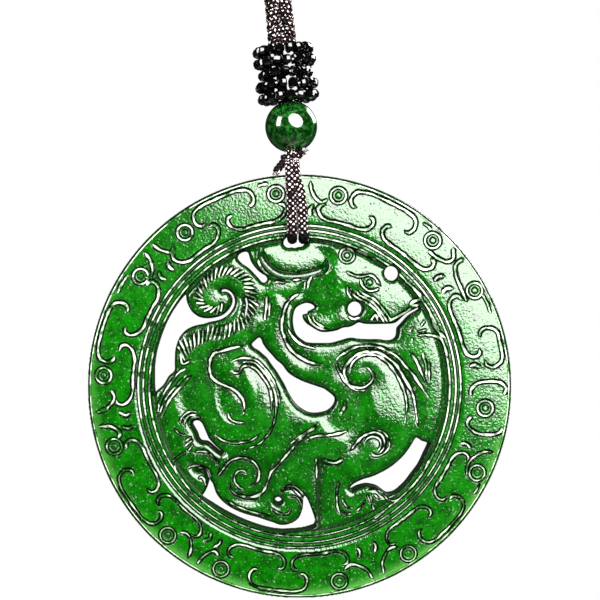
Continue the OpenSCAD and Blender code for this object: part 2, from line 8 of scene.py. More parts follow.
import bpy
import numpy as np
from mathutils import Matrix, Vector


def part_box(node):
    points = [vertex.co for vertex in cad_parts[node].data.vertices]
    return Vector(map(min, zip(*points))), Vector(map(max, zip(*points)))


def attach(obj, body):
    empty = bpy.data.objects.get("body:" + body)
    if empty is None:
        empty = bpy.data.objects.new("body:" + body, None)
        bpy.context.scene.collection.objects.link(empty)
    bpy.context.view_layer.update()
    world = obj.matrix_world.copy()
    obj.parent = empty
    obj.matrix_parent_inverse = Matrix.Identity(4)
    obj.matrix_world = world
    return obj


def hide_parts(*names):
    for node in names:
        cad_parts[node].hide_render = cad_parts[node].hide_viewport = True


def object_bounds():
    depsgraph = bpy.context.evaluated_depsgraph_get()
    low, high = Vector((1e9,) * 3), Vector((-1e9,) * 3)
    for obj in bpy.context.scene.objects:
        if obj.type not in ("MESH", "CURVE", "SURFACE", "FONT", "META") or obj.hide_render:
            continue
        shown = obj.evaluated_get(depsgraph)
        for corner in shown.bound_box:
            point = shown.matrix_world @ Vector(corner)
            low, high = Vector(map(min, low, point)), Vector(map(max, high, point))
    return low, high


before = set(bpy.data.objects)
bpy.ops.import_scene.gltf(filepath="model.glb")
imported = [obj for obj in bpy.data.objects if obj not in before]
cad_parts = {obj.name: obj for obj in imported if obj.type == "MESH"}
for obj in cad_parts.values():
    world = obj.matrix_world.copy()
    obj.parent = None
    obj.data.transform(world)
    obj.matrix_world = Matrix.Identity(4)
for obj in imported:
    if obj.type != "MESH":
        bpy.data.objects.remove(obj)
cad_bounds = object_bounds()

# The jade disc
# One slab of green jade, 60 mm across, hung on two strands through the holes at its top. The
# field inside the ring is sawn through between the beast's limbs, and the forms are ground
# round and lined with a graver.
MM = 0.001
half_thick = 2.5
disc_r = 30.0
field_r = 21.0
low, high = (np.array(corner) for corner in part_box("jade_disc"))
disc_middle = np.array([(low[0] + high[0]) / 2, high[1] - half_thick * MM, (low[2] + high[2]) / 2])
# The ground of the field, over the slab's middle. A form steps up from it, then swells.
ground = 1.45
step_rise, step_run = 0.65, 0.9
swell_rise, swell_run = 0.3, 3.4
moulding_radii = (21.2, 22.05, 22.75)
grid_step = 0.1

openings = {
    "tail": [
        (-16.3, 13), (-15.95, 11.9), (-15.35, 10.7), (-14.5, 9.95), (-13.7, 9.65), (-12.8, 9.6),
        (-12, 9.7), (-11.1, 10), (-10.3, 10.65), (-9.75, 11.5), (-9.6, 12.3), (-9.9, 13),
        (-10.5, 13.4), (-11.1, 13.35), (-11.1, 13.65), (-10.4, 13.7), (-9.6, 13.2), (-9.2, 12.3),
        (-9.3, 11.3), (-9.95, 10.3), (-10.9, 9.6), (-12, 9.25), (-12.8, 9.1), (-13.7, 8.8),
        (-14.8, 8.6), (-15.9, 8.1), (-16.7, 7.35), (-17.2, 6.5), (-17.5, 5.6), (-17.65, 4.7),
        (-17.7, 3.3), (-17.75, 2.2), (-18.5, 1.5), (-19.1, 0.5), (-19.5, 0), (-20.3, -0.7),
        (-20.6, -1.2), (-20.75, 0.8), (-20.7, 3), (-20.3, 5.4), (-19.2, 8.6), (-17.9, 11)],
    "ear": [
        (-8.85, 18.2), (-8.6, 18.8), (-7.9, 19.1), (-7.4, 19), (-7.15, 18.5), (-6.9, 17.7),
        (-6.3, 16.8), (-5.6, 16.1), (-4.8, 15.6), (-4.6, 15.1), (-4.9, 14.7), (-5.35, 14.75),
        (-5.9, 15.35), (-6.5, 16), (-7.3, 16.8), (-8.3, 17.5)],
    "back": [
        (-6.85, 5.85), (-6.45, 6.3), (-5.8, 6.85), (-5.45, 6.65), (-5.2, 6), (-4.65, 5.2),
        (-4, 4.5), (-3.3, 3.7), (-2.5, 3.05), (-1.5, 1.8), (0.3, 0.75), (2.4, 0), (3.4, -0.35),
        (4.2, -0.9), (4.85, -1.5), (5, -2.15), (4.7, -2.9), (4, -3.55), (3.1, -3.85), (2, -3.95),
        (1.1, -3.8), (0.3, -3.35), (-0.3, -2.9), (-0.9, -2.2), (-1.6, -1.05), (-2.1, 0),
        (-2.8, 1.2), (-3.3, 2), (-4, 2.95), (-4.65, 3.9), (-5.2, 4.4), (-5.9, 5), (-6.5, 5.35)],
    "throat": [
        (1.45, 11.7), (0.8, 11.75), (0, 11.45), (-0.6, 10.95), (-0.87, 10.1), (-0.95, 9.2),
        (-0.8, 8.1), (-0.4, 7.2), (0.4, 6.5), (1.35, 6.1), (4, 6.05), (4.8, 6.15), (5.9, 6.45),
        (6.9, 6.75), (7.6, 6.8), (8.5, 6.65), (10, 6.6), (11.3, 6.6), (12.4, 6.45), (13.3, 6.6),
        (13.75, 7.1), (13.85, 7.9), (13.95, 8.3), (14.5, 8.9), (15.4, 9.9), (16.2, 10.45),
        (16.95, 10.9), (16.85, 11.15), (16, 10.75), (15, 10.2), (14, 9.3), (13.3, 8.9), (12, 8.8),
        (9.4, 8.8), (8.4, 9), (7.7, 8.65), (7.1, 8.4), (6.1, 8.25), (5.3, 7.9), (4.3, 7.7),
        (3.2, 7.65), (2.4, 7.95), (1.6, 8.45), (0.95, 8.9), (0.5, 9.5), (0.45, 10.1), (1.1, 10.3),
        (1.15, 10.55), (1.7, 10.85), (2.1, 11.1), (2, 11.4)],
    "hind": [
        (16.5, -7.3), (17.3, -7.75), (18.2, -8.05), (18.2, -8.55), (17.85, -9.3), (17.3, -10.5),
        (16.8, -11.45), (16, -12.5), (15.1, -13.7), (14.4, -14.4), (13.6, -15.05), (12.8, -15.3),
        (12.25, -15.25), (11.7, -14.85), (11.05, -14.4), (10.3, -14.15), (9.5, -14.05),
        (8.65, -14.2), (7.85, -14.5), (7.35, -14.75), (7.2, -14.35), (7.45, -14), (8.15, -13.55),
        (9.1, -13.15), (10.3, -12.8), (11.6, -12.2), (12.8, -11.5), (13.7, -10.8), (14.7, -9.85),
        (15.5, -8.8), (16, -8)],
    "floor": [
        (-12.75, -13.3), (-12.3, -13.8), (-12, -14.7), (-11.6, -15.5), (-10.8, -16.4),
        (-9.85, -17.1), (-8.7, -17.7), (-7.3, -18.2), (-6, -18.55), (-4.7, -19), (-3.6, -19.35),
        (-2.8, -19.65), (-2, -19.65), (-0.95, -19.3), (-0.1, -18.6), (0.35, -17.6), (0.5, -16.8),
        (0.55, -15.9), (0.8, -15.6), (1.15, -16.1), (1.6, -17.2), (2.1, -18.7), (2.1, -19.75),
        (1.5, -20.1), (0, -20.45), (-2.7, -20.6), (-4.7, -20.3), (-6.7, -19.7), (-8.7, -18.9),
        (-10.7, -17.9), (-12.5, -16.8), (-14, -15.8), (-13.7, -15.4), (-13.3, -14.8),
        (-13.05, -14.1)],
    "paw": [
        (-15.25, -5.5), (-15.05, -5.1), (-14.6, -4.85), (-14.05, -5), (-13.7, -5.5),
        (-13.4, -6.15), (-13.05, -6.95), (-12.8, -7.45), (-12, -8.3), (-11.3, -8.95),
        (-10.9, -9.3), (-11.2, -9.5), (-12, -8.9), (-12.8, -8.2), (-13.3, -7.95), (-14, -7.85),
        (-14.35, -7.45), (-14.55, -6.8), (-14.95, -6.1)],
}
# Saw cuts: width, line. Drilled holes: place, radius. The last six run together and carry
# the cord.
saw_cuts = [
    (0.32, [(-7.65, 12.35), (-7.5, 11.5), (-7.7, 10.1)]),
    (0.35, [(-12.85, -13.2), (-13.2, -12.3), (-13.75, -11.8), (-14.4, -11.75)]),
]
drilled = [
    ((7.85, 10.95), 1.02), ((13.05, 16), 1.05), ((-3.05, -16.2), 0.5),
    ((-1.1, 20.95), 0.8), ((-0.3, 20.95), 0.8), ((0.52, 20.95), 0.8),
    ((-1.5, 20.4), 0.8), ((-0.7, 20.4), 0.82), ((0, 20.45), 0.72)]

# Lines between one form and the next, where the jade is ground down to the field: width, line
form_lines = [
    (0.7, [(-5.4, 19.6), (-5.35, 18.6), (-5, 17.6), (-4.2, 16.7), (-3.2, 16), (-2, 15.7),
        (0, 15.65), (1.5, 15.9), (2.8, 16.3), (3.6, 16.9), (3.75, 17.8)]),
    (0.5, [(0.2, 13.2), (-0.7, 12.8), (-1.5, 12), (-2, 11.1), (-2.3, 10), (-2.5, 8.9),
        (-2.45, 7.9), (-2.1, 6.8), (-1.6, 5.7), (-0.8, 4.8), (0.3, 4), (1.3, 3.5), (2.4, 3.15),
        (3.3, 3)]),
    (0.5, [(-7.6, 5.7), (-8.7, 5.6), (-10, 5.3), (-10.9, 5), (-11.9, 4.7), (-12.5, 4.1),
        (-12.7, 3.3), (-12.7, 2.3), (-12.4, 1.3), (-11.6, 0.6), (-10.5, 0.1), (-9.6, -0.3),
        (-8.7, -0.9), (-8, -1.9), (-7.8, -2.9), (-7.9, -3.9)]),
    (0.4, [(-9.6, 2.3), (-9.2, 1.9), (-8.5, 2), (-8.1, 2.7), (-7.6, 2.9), (-6.9, 2.9), (-6, 2.3),
        (-5.2, 1.3), (-4.4, 0.1), (-4, -1.1), (-3.9, -2.4), (-4.1, -3.7)]),
    (0.5, [(-11.2, -11.2), (-11.5, -12.5), (-10.8, -11.7), (-10.1, -10.8), (-9.3, -10.3),
        (-8.4, -10.1), (-7.2, -10.3), (-6.4, -10.8), (-5.8, -11.7), (-5.7, -12.7), (-6.1, -13.6),
        (-7.1, -14.1)]),
    (0.5, [(-9.8, -13.6), (-9.7, -14.5), (-9.1, -15.2), (-8.3, -15.5), (-7.2, -15.7), (-6, -15.5),
        (-5.2, -14.9), (-4.7, -14), (-4.3, -12.9), (-4, -12.1), (-3.2, -11.3), (-2, -9.9),
        (-0.9, -8.7), (-0.1, -7.7), (0.9, -6.7), (2, -6), (2.7, -5.3)]),
    (0.5, [(6.9, -9.2), (7.5, -8.7), (8.1, -7.9), (8.8, -7.2), (9.7, -6.7), (10.7, -6.5),
        (11.6, -6.9), (12, -7.7), (11.9, -8.7), (11.2, -9.5)]),
    (0.5, [(8.7, 2.7), (9.5, 2.7), (10.1, 2.1), (10.4, 1.3), (10, 0.5), (9.2, -0.1), (8.3, -0.2),
        (7.3, 0.1), (6.7, 0.9), (6.3, 1.9), (6.5, 2.8), (7.2, 3.7), (8, 4.4), (8.9, 4.8),
        (10, 4.9), (11.3, 4.7), (12.5, 4), (13.6, 3.1), (14.4, 1.9), (15.2, 0.5), (15.9, -0.8),
        (16.3, -2.4), (16.5, -4), (16.7, -5.7)]),
    (0.4, [(-14.9, -9.3), (-14, -9.2), (-13.1, -9.3), (-12.3, -9.9), (-11.7, -10.5),
        (-11.5, -11.1)]),
    (0.4, [(-2.9, -14.8), (-1.6, -14.1), (-0.7, -14.2), (0.1, -14.8), (0.7, -15.6), (1.2, -16.7),
        (1.9, -18.3), (2.5, -19.3)]),
    (0.4, [(-4.65, 13), (-4.65, 11.5), (-4.85, 10.2), (-4.9, 9.3)]),
]
# A crease, with painted shade down to its bottom
crease = (0.5, [(3.0, -10.2), (2.75, -12), (2.7, -13.3), (2.65, -16), (2.7, -20)])
# Lines cut into the forms: width, line
graver_lines = [
    (0.3, [(-5.9, 17.9), (-5.5, 17), (-5, 16.3), (-4.3, 15.8)]),
    (0.35, [(-3.6, 14.75), (-1.9, 14.75)]),
    (0.35, [(-1.1, 14.95), (0.4, 15.15)]),
    (0.35, [(7.9, 19.25), (9.1, 18.8), (10.1, 18.3), (10.8, 17.85)]),
    (0.4, [(6.6, 16.2), (7.2, 15.85), (8.1, 15.55), (9, 15.55), (9.8, 15.75), (10.5, 15.5),
        (11, 14.8), (11.5, 14.1)]),
    (0.4, [(8.6, 15.1), (8.8, 14.4), (9.2, 13.9), (9.9, 13.5), (10.7, 13.6), (11.2, 13.9)]),
    (0.3, [(7.2, 13.9), (7.7, 12.9), (8.6, 12.3), (9.6, 11.8), (10.4, 11.2), (11.1, 10.4),
        (11.7, 9.5), (11.95, 9)]),
    (0.3, [(7.9, 13.7), (8.5, 12.9), (9.5, 12.4), (10.4, 11.8), (11.2, 10.9), (12, 9.8),
        (12.4, 9.1)]),
    (0.3, [(8.4, 13.6), (9.2, 13), (10.3, 12.5), (11.1, 11.8), (12, 10.7), (12.9, 9.4)]),
    (0.3, [(6.75, 14.3), (6.8, 13.3), (7.3, 12.4)]),
    (0.4, [(15, 14.9), (15.9, 14.1), (16.5, 13.5), (17.05, 12.9), (17, 12.3), (16.1, 12),
        (15.8, 11.7), (15.7, 11.1), (15.2, 10.6), (14.3, 10.1), (13.3, 9.6), (12.7, 9.2)]),
    (0.4, [(15.9, 11.4), (16.8, 11.4)]),
    (0.35, [(10.1, 9.3), (10.7, 10.1), (11.1, 9.1)]),
    (0.35, [(6.9, 9.9), (7.6, 9.5), (8.5, 9.7)]),
    (0.35, [(1.2, 10.1), (1.5, 9.3), (2.3, 8.5), (3.2, 8.1), (4.1, 8)]),
    (0.3, [(1.9, 10), (2.1, 9.3), (2.8, 8.7), (3.6, 8.3)]),
    (0.3, [(1.8, 15.6), (1.3, 14.8), (1.15, 13.8)]),
    (0.3, [(0.75, 14.8), (0.7, 13.8)]),
    (0.3, [(-1.8, 8.7), (-1.2, 7.3), (-0.4, 6.4), (0.5, 5.8), (1.6, 5.5), (2.3, 5.3)]),
    (0.3, [(-4.2, 11.9), (-4.3, 10)]),
    (0.35, [(-10.1, -3.6), (-9.9, -4.4), (-9.3, -4.9), (-8.5, -5.1), (-7.6, -5.1)]),
    (0.35, [(-8, 3.4), (-7.2, 3.5), (-6.3, 3.3), (-5.3, 2.4), (-4.4, 1.2), (-3.7, -0.1),
        (-3.3, -1.6), (-3.3, -3.1), (-3.5, -4.7), (-4, -6.1), (-4.8, -7.2), (-5.7, -8.1),
        (-7.9, -9.1)]),
    (0.3, [(-9.6, 3.5), (-8.7, 3.9), (-7.3, 4), (-6, 3.6), (-4.8, 2.4), (-3.7, 0.8),
        (-3.1, -0.7), (-2.8, -2.4)]),
    (0.35, [(-12, -6.8), (-10.7, -7.7), (-8.7, -7.95), (-6.8, -7.6), (-5.4, -6.6)]),
    (0.35, [(-16.9, 4.7), (-16.7, 3.7), (-16.5, 3.2), (-16, 3.3), (-15.4, 3.7)]),
    (0.35, [(-16.1, 2.5), (-17.1, 1.9), (-18, 0.8), (-18.8, -0.4), (-19.5, -1.6), (-19.9, -2.8),
        (-20, -3.7)]),
    (0.35, [(-15.2, 1.6), (-16.1, 0.8), (-16.9, -0.1), (-17.9, -1.3), (-18.7, -2.5),
        (-19.2, -3.6), (-19.5, -4.5)]),
    (0.25, [(-15.9, 1.7), (-18.1, -0.7), (-19.1, -2.1), (-19.7, -3.7)]),
    (0.3, [(-16.9, -5.3), (-16.7, -4.5), (-16, -3.8), (-15.2, -3.5), (-14.5, -3.7)]),
    (0.3, [(-16.3, -5.5), (-16.1, -4.7), (-15.5, -4.1), (-14.5, -4)]),
    (0.3, [(-15.7, -5.2), (-15.3, -4.5), (-14.5, -4.3), (-13.9, -4.5)]),
    (0.35, [(-17.6, -5.9), (-17.3, -6.4), (-16.7, -6.8), (-16, -6.9)]),
    (0.3, [(-15.2, -7.1), (-16.3, -7.9)]),
    (0.3, [(-15, -7.5), (-16.2, -8.4)]),
    (0.3, [(-15, -8.2), (-15.8, -9.2)]),
    (0.35, [(-17.7, -11.1), (-17.5, -11.9), (-16.8, -12.9), (-16, -14), (-15.3, -14.8),
        (-14.7, -15.3)]),
    (0.35, [(-15.9, -11.6), (-15.3, -11.3), (-14.4, -11.2), (-13.6, -11.4), (-12.9, -12),
        (-12.5, -12.9)]),
    (0.3, [(-14.3, -13.1), (-13.9, -12.8), (-13.5, -13.2), (-13.3, -14)]),
    (0.3, [(-18, -10.7), (-16.7, -9.6), (-16, -9.3)]),
    (0.4, [(-7.5, -12.3), (-8, -11.9), (-8.8, -12.1), (-9.2, -12.8), (-9.1, -13.6),
        (-8.5, -14.3), (-7.9, -14.5)]),
    (0.3, [(-1.3, -8.1), (0, -7.1), (1.5, -6.1), (2.6, -5.3)]),
    (0.35, [(-10.4, -16), (-9.7, -16.5), (-8.4, -17.15), (-6.9, -17.7), (-5.3, -18.1),
        (-3.9, -18.4)]),
    (0.3, [(-2.7, -15.1), (-2, -14.6), (-1.1, -14.5), (-0.3, -15.1), (0.4, -15.9), (0.7, -16.7)]),
    (0.3, [(-1.5, -15.5), (-0.8, -15.5), (-0.1, -16), (0.3, -16.9)]),
    (0.35, [(-3.9, -17.2), (-3.3, -17.7), (-2.5, -18), (-1.6, -17.9), (-1.2, -17.2)]),
    (0.35, [(2.3, -10.1), (2.4, -11.5), (2.4, -13)]),
    (0.6, [(3.2, -10.3), (4.1, -10.7), (5.1, -10.8), (6.1, -10.3)]),
    (0.35, [(5.7, -13.3), (5.3, -14.7), (5.3, -16.7), (5.7, -18)]),
    (0.4, [(0.9, -7.7), (1.5, -7.3), (2.5, -7), (4.1, -6.9), (5.3, -6.7), (6.7, -6.3)]),
    (0.35, [(9.2, -7.9), (9.7, -7.3), (10.5, -7.1), (11.3, -7.5), (11.5, -8.3), (11.1, -9.1)]),
    (0.3, [(10.1, -9.2), (10.4, -9.7), (11.2, -9.8), (12.1, -9.3), (12.7, -8.4), (12.5, -7.3),
        (11.9, -6.5), (10.8, -6.1)]),
    (0.4, [(6.5, -2.1), (6.3, -3), (5.8, -3.9)]),
    (0.3, [(6, -15.9), (6.3, -16.5), (6.8, -17.1), (7.6, -17.2)]),
    (0.3, [(6, -17.5), (6.5, -18), (7.3, -18)]),
    (0.3, [(9.3, -16), (8.9, -16.8), (8.1, -17.6)]),
    (0.3, [(9.5, -15.2), (10, -16.5)]),
    (0.3, [(10, -15.3), (10.5, -17.5)]),
    (0.3, [(10.5, -15.2), (11.3, -16)]),
    (0.3, [(10.4, -18.8), (11.6, -17.9), (12.7, -16.9), (13.1, -16.5)]),
    (0.4, [(5.1, 3.6), (5.7, 4.3), (6.7, 4.9), (7.7, 5.5), (8.9, 5.7), (10, 5.75), (11.3, 5.5),
        (12.7, 4.9), (14, 4), (14.9, 2.9), (15.9, 1.9), (16.7, 0.7), (17.5, -0.5),
        (18.2, -1.5)]),
    (0.35, [(7.1, 1.9), (7.2, 2.7), (7.7, 3.6), (8.7, 4.3), (9.9, 4.5), (11.1, 4.3),
        (12.3, 3.5), (13.3, 2.3), (14.1, 0.9), (14.8, -0.7), (15.1, -2.1), (15.1, -3.3),
        (14.8, -5.3)]),
    (0.3, [(5.3, 3.2), (5.4, 2.4), (5.9, 1.6), (6.4, 0.7), (7.2, -0.1), (8.1, -0.6),
        (8.9, -0.6), (9.5, -0.5)]),
    (0.35, [(15.6, 4.7), (16.3, 3.9), (16.8, 2.9), (17.3, 1.7), (17.9, 0.3)]),
    (0.35, [(17.3, 4.8), (17.7, 3.7), (17.9, 2.7), (17.9, 1.5)]),
    (0.3, [(18.3, 3.5), (18.3, 2), (18.3, 0.7)]),
    (0.35, [(16.5, 7.1), (17.6, 7.3), (19.1, 7.1), (20, 6.7), (20.5, 5.6), (20.9, 4.3)]),
    (0.3, [(15.5, 7.7), (16, 8.4)]),
    (0.3, [(16.5, 7.7), (18, 8)]),
    (0.3, [(15.9, 6.4), (15.9, 6.9)]),
    (0.3, [(18.3, 10.7), (18.7, 9.6), (19.2, 8.3), (19.9, 7.5), (20.7, 6.7)]),
    (0.3, [(17.7, 9.3), (17.1, 8.5)]),
    (0.35, [(9.3, -14.9), (10, -14.5), (10.8, -14.5), (11.6, -15.1), (12.4, -15.9),
        (13.2, -16.2), (14, -15.9), (14.8, -15.2), (16, -14), (17.1, -12.7), (18, -11.1),
        (18.8, -9.5), (19.2, -8.8)]),
]
# The line along the middle of the hairy tail
tail_line = [
    (-17, 4.6), (-15.5, 6.2), (-13, 7.4), (-10.5, 7.9), (-8.3, 8.9), (-7, 10.8), (-6.7, 13),
    (-7.7, 15.2), (-9.8, 16.3), (-12, 15.9), (-13.6, 14.4), (-14.2, 12.6), (-13.3, 11.2),
    (-11.8, 10.8), (-10.9, 11.3)]
# The ring's pattern. Angles are in degrees from the right, radii in millimetres.
ring_cups = [
    (10, 29.8), (42.4, 61.6), (66, 83.5), (95, 113.2), (117.7, 134.3), (144.7, 162.8),
    (167, 185.5), (198, 215.5), (218.8, 235.5), (247, 264.8), (267.8, 285.3), (300, 316.2),
    (321.5, 337.6)]
ring_arches = [
    (6, 17.2), (54.2, 74.3), (104, 122.3), (155, 172.5), (206, 223.5), (255.3, 272),
    (308.8, 325)]
ring_eyes = [
    (28.7, 28.2), (47.6, 27.9), (78.5, 27.5), (97, 27.4), (126.7, 27.1), (145.3, 27.3),
    (176.8, 27.7), (198, 27.5), (228.5, 28.1), (246.7, 28.1), (281.5, 28.1), (303, 28.2),
    (334, 27.9), (353.3, 26.4)]
ring_hooks = [
    (81.5, 87), (132, 136), (145, 139.2), (181, 187.3), (196, 191.3),
    (230.5, 237), (244.5, 240), (283.5, 290.8), (302, 294.3), (332, 341.3)]
ring_bars = [(27, 21), (53, 50), (102, 99), (153, 147), (332, 328)]
ring_ticks = [37.9, 33.2, 86.3, 141.3, 137, 193.2, 188.8, 238.8, 242.5, 289.5, 295, 340.5, 6.5]
ring_brackets = [
    [(350, 24.7), (348.5, 24.2), (346.5, 24.6), (345.3, 26), (345.8, 27.8), (347, 29),
        (348.5, 29.3)],
    [(357.5, 28.9), (359.5, 29.2), (361.2, 28.3), (361.5, 26.5), (360.8, 25), (359, 24.2),
        (357, 24.2)],
    [(26.8, 26.5), (31.2, 26.7), (35.2, 27.05), (37.9, 28), (38, 29.3)],
    [(46.4, 26.4), (43.5, 26.55), (40.4, 27.15), (39.7, 28.2), (42, 29.2)]]
# A cup and an arch end in the same curl on both sides: angle from the end, radius
cup_end = [(1.8, 25.9), (0.2, 25.8), (-0.4, 25), (0.9, 24.1)]
arch_end = [(2, 26.5), (0.5, 26.6), (-0.3, 27.5), (0.8, 28.6)]
ring_line_w = 0.58
ring_line_depth = 0.28
ring_wall = 0.38
beast_eye = (9.85, 14.65)
brow_curl = (6.7, 18.5)


def smooth_line(points, closed=False, per=5):
    """A smooth line through the points, with per pieces from each point to the next."""
    p = np.array(points, float)
    if len(p) == 2:
        return p[0] + np.linspace(0, 1, 9)[:, None] * (p[1] - p[0])
    before = np.roll(p, 1, 0) if closed else np.vstack([p[:1], p[:-1]])
    after = np.roll(p, -1, 0) if closed else np.vstack([p[1:], p[-1:]])
    beyond = np.roll(p, -2, 0) if closed else np.vstack([p[2:], p[-1:], p[-1:]])
    line = []
    for a, b, c, d in list(zip(before, p, after, beyond))[: len(p) if closed else -1]:
        for t in np.arange(per) / per:
            line.append(
                b + (c - a) * t / 2 + (2 * a - 5 * b + 4 * c - d) * t**2 / 2
                + (3 * b - a - 3 * c + d) * t**3 / 2)
    line.append(p[0] if closed else p[-1])
    return np.array(line)


grid_axis = np.arange(-disc_r - 0.5, disc_r + 0.5 + grid_step / 2, grid_step)
face_x, face_z = np.meshgrid(grid_axis, grid_axis, indexing="ij")
face_r = np.hypot(face_x, face_z)


def near(line, reach):
    """The part of the face within reach of a line, its distance from the line and how far along."""
    start = ((line.min(0) - reach - grid_axis[0]) / grid_step).astype(int).clip(0)
    stop = ((line.max(0) + reach - grid_axis[0]) / grid_step).astype(int) + 2
    window = (slice(start[0], stop[0]), slice(start[1], stop[1]))
    x, z = face_x[window], face_z[window]
    distance = np.full(x.shape, 99.0)
    along = np.zeros(x.shape)
    for k in range(len(line) - 1):
        (ax, az), (dx, dz) = line[k], line[k + 1] - line[k]
        t = np.clip(((x - ax) * dx + (z - az) * dz) / (dx * dx + dz * dz + 1e-12), 0, 1)
        d = np.hypot(x - ax - t * dx, z - az - t * dz)
        closer = d < distance
        distance[closer] = d[closer]
        along[closer] = ((k + t) / (len(line) - 1))[closer]
    return window, distance, along


def inside(outline):
    """Which points of the face lie inside a closed outline."""
    odd = np.zeros(face_x.shape, bool)
    for (ax, az), (bx, bz) in zip(outline[:-1], outline[1:]):
        if az != bz:
            crosses = (az > face_z) != (bz > face_z)
            odd ^= crosses & (face_x < ax + (face_z - az) * (bx - ax) / (bz - az))
    return odd


def softened(height, width):
    """The height with everything finer than width rubbed away."""
    reach = int(round(3 * width / grid_step))
    weights = np.exp(-0.5 * (np.arange(-reach, reach + 1) * grid_step / width) ** 2)
    weights /= weights.sum()
    for side in (0, 1):
        height = sum(
            w * np.roll(height, k, side) for k, w in zip(range(-reach, reach + 1), weights))
    return height


def keep_least(drawing, window, values):
    """Lower part of a drawing of the face to the values, where they are less."""
    drawing[window] = np.minimum(drawing[window], values)


def quarter_round(distance, run):
    """0 at an edge and 1 from run on, risen along a quarter of a circle."""
    return np.sqrt(1 - (1 - np.clip(distance / run, 0, 1)) ** 2)


def drawn_out(along, taper=6.0, least=0.3):
    """1 over most of a line, falling towards least at both its ends."""
    return np.clip(taper * np.minimum(along, 1 - along) + least, 0, 1)


# How far each point of the face is from the nearest edge, openings counting as less than 0
line_reach = 3.0
to_opening = np.full(face_x.shape, line_reach)
for points in openings.values():
    outline = smooth_line(points, closed=True)
    window, distance, _ = near(outline, line_reach)
    keep_least(to_opening, window, np.where(inside(outline)[window], -distance, distance))
for width, points in saw_cuts:
    window, distance, _ = near(smooth_line(points), line_reach)
    keep_least(to_opening, window, distance - width / 2)
for (x, z), radius in drilled:
    to_opening = np.minimum(to_opening, np.hypot(face_x - x, face_z - z) - radius)
to_edge = np.minimum(to_opening, disc_r - face_r)

# The beast stands up steeply from the ground of the field at its outer edges, and swells
# gently between its form lines
to_outer_edge = np.minimum(to_opening, field_r - 0.35 - face_r)
to_form_edge = to_outer_edge.copy()
for width, points in form_lines + [crease]:
    window, distance, along = near(smooth_line(points), line_reach)
    fade = drawn_out(along, least=0.0)
    keep_least(to_form_edge, window, distance - width / 2 * fade + 1.2 * (1 - fade))
bulge = swell_rise * quarter_round(to_form_edge, swell_run)


def within(x, z, reach_x, reach_z):
    """1 over most of an oval of the face, falling to 0 at its edge."""
    return np.clip(2 - 2 * ((face_x - x) / reach_x) ** 2 - 2 * ((face_z - z) / reach_z) ** 2, 0, 1)


# Places rubbed flat: middle, reach each way
rubbed_away = 0.75
flats = [
    (-8.6, -12.3, 5.6, 5), (6, -16.5, 4.5, 5.5), (2.5, 12, 4, 3.5), (-13.8, -1, 4, 5),
    (6.5, -3.5, 4, 4)]
for flat in flats:
    bulge *= 1 - rubbed_away * within(*flat)
forms = ground + step_rise * quarter_round(to_outer_edge, step_run) + softened(bulge, 0.3)
# Some forms lean: middle, reach each way, fall to the right and fall to the top
leans = [
    ((13.3, 12.3, 4.5, 3.8), 0.04, 0.02), ((10.5, 15.8, 2.5, 2), -0.03, -0.03),
    ((-1.2, 18, 6.6, 3.4), 0.09, 0.06), ((8, 17, 4.5, 3.5), 0.07, 0.03),
    ((3, 13, 3.5, 3), -0.08, 0), ((12.6, -1, 3.5, 5.5), 0.06, 0.03),
    ((-9, -1, 3, 4.5), -0.05, -0.03), ((-3.5, 8, 3, 5), -0.06, -0.04),
    ((-13, -10.5, 3, 3), -0.09, -0.06), ((-6.9, -17.4, 3.4, 1.6), 0.05, 0.06)]
fall = np.zeros(face_x.shape)
for place, to_right, to_top in leans:
    fall += within(*place) * (to_right * (face_x - place[0]) + to_top * (face_z - place[1]))
forms -= fall

# Cuts of the graver, drawn out thin at both ends. Along with their depth goes how far each
# point lies from the middle of a cut, in half widths of it: painted shade stays dark at 1, where
# the walls are, and a wide cut's floor shows a pale painted highlight round 0. Low in the field
# less of a cut's floor carries the painted highlight.
far = 5.0
cuts = np.zeros(face_x.shape)
from_cut = np.full(face_x.shape, far)
tremor_size = 0.035
tremor = softened(np.random.default_rng(3).standard_normal(face_x.shape), 0.25)
tremor *= tremor_size / tremor.std()
# Lower in the field the painted marks of the cuts move inward, leaving less painted highlight
less_line_highlight = 0.22 * np.clip(-face_z / 10 - 0.5 * (face_r > field_r), 0, 1)
whole_face = (slice(None), slice(None))


def groove(window, distance, width, depth, wall, narrow=False, marked=True):
    """Cut a groove into the face, given the distance from its middle."""
    side = np.clip((width / 2 - distance) / (width / 2 * wall), 0, 1)
    cuts[window] = np.maximum(cuts[window], depth * side * side * (3 - 2 * side))
    if marked:
        halves = distance / (width / 2) + (0.8 if narrow else 0.0)
        keep_least(from_cut, window, halves + less_line_highlight[window])


def carve(points, width, depth, wall=0.5, taper=6.0, marked=True):
    """Cut a groove along a smooth line, with a hand's slight tremor."""
    window, distance, along = near(smooth_line(points), 2.5 * width)
    distance = abs(distance + tremor[window])
    fade = drawn_out(along, taper)
    groove(window, distance, width * fade, depth * fade, wall, marked=marked)


def round_cut(middle, radius, width, depth, wall, narrow=False):
    """Cut a round groove."""
    distance = abs(np.hypot(face_x - middle[0], face_z - middle[1]) - radius)
    groove(whole_face, distance, width, depth, wall, narrow)


for width, points in form_lines:
    if width > 0.55:
        # The deep groove under the ear keeps a plain floor between two edges of painted shade
        window, distance, along = near(smooth_line(points), line_reach)
        fade = drawn_out(along)
        groove(window, distance, 1.4 * fade, 0.6 * fade, 0.8, marked=False)
        groove(window, abs(distance - 0.62 * fade), 0.26, 0.0, 1.0, narrow=True)
    else:
        carve(points, width + 0.08, 0.32, wall=0.45)
carve(crease[1], 0.9, 0.3, wall=0.9, marked=False)
window, distance, _ = near(smooth_line(crease[1]), line_reach)
# Painted shade along the crease
in_crease = np.zeros(face_x.shape)
in_crease[window] = np.clip(1 - distance / 0.6, 0, 1)
for width, points in graver_lines:
    carve(points, width + 0.14, 0.26)

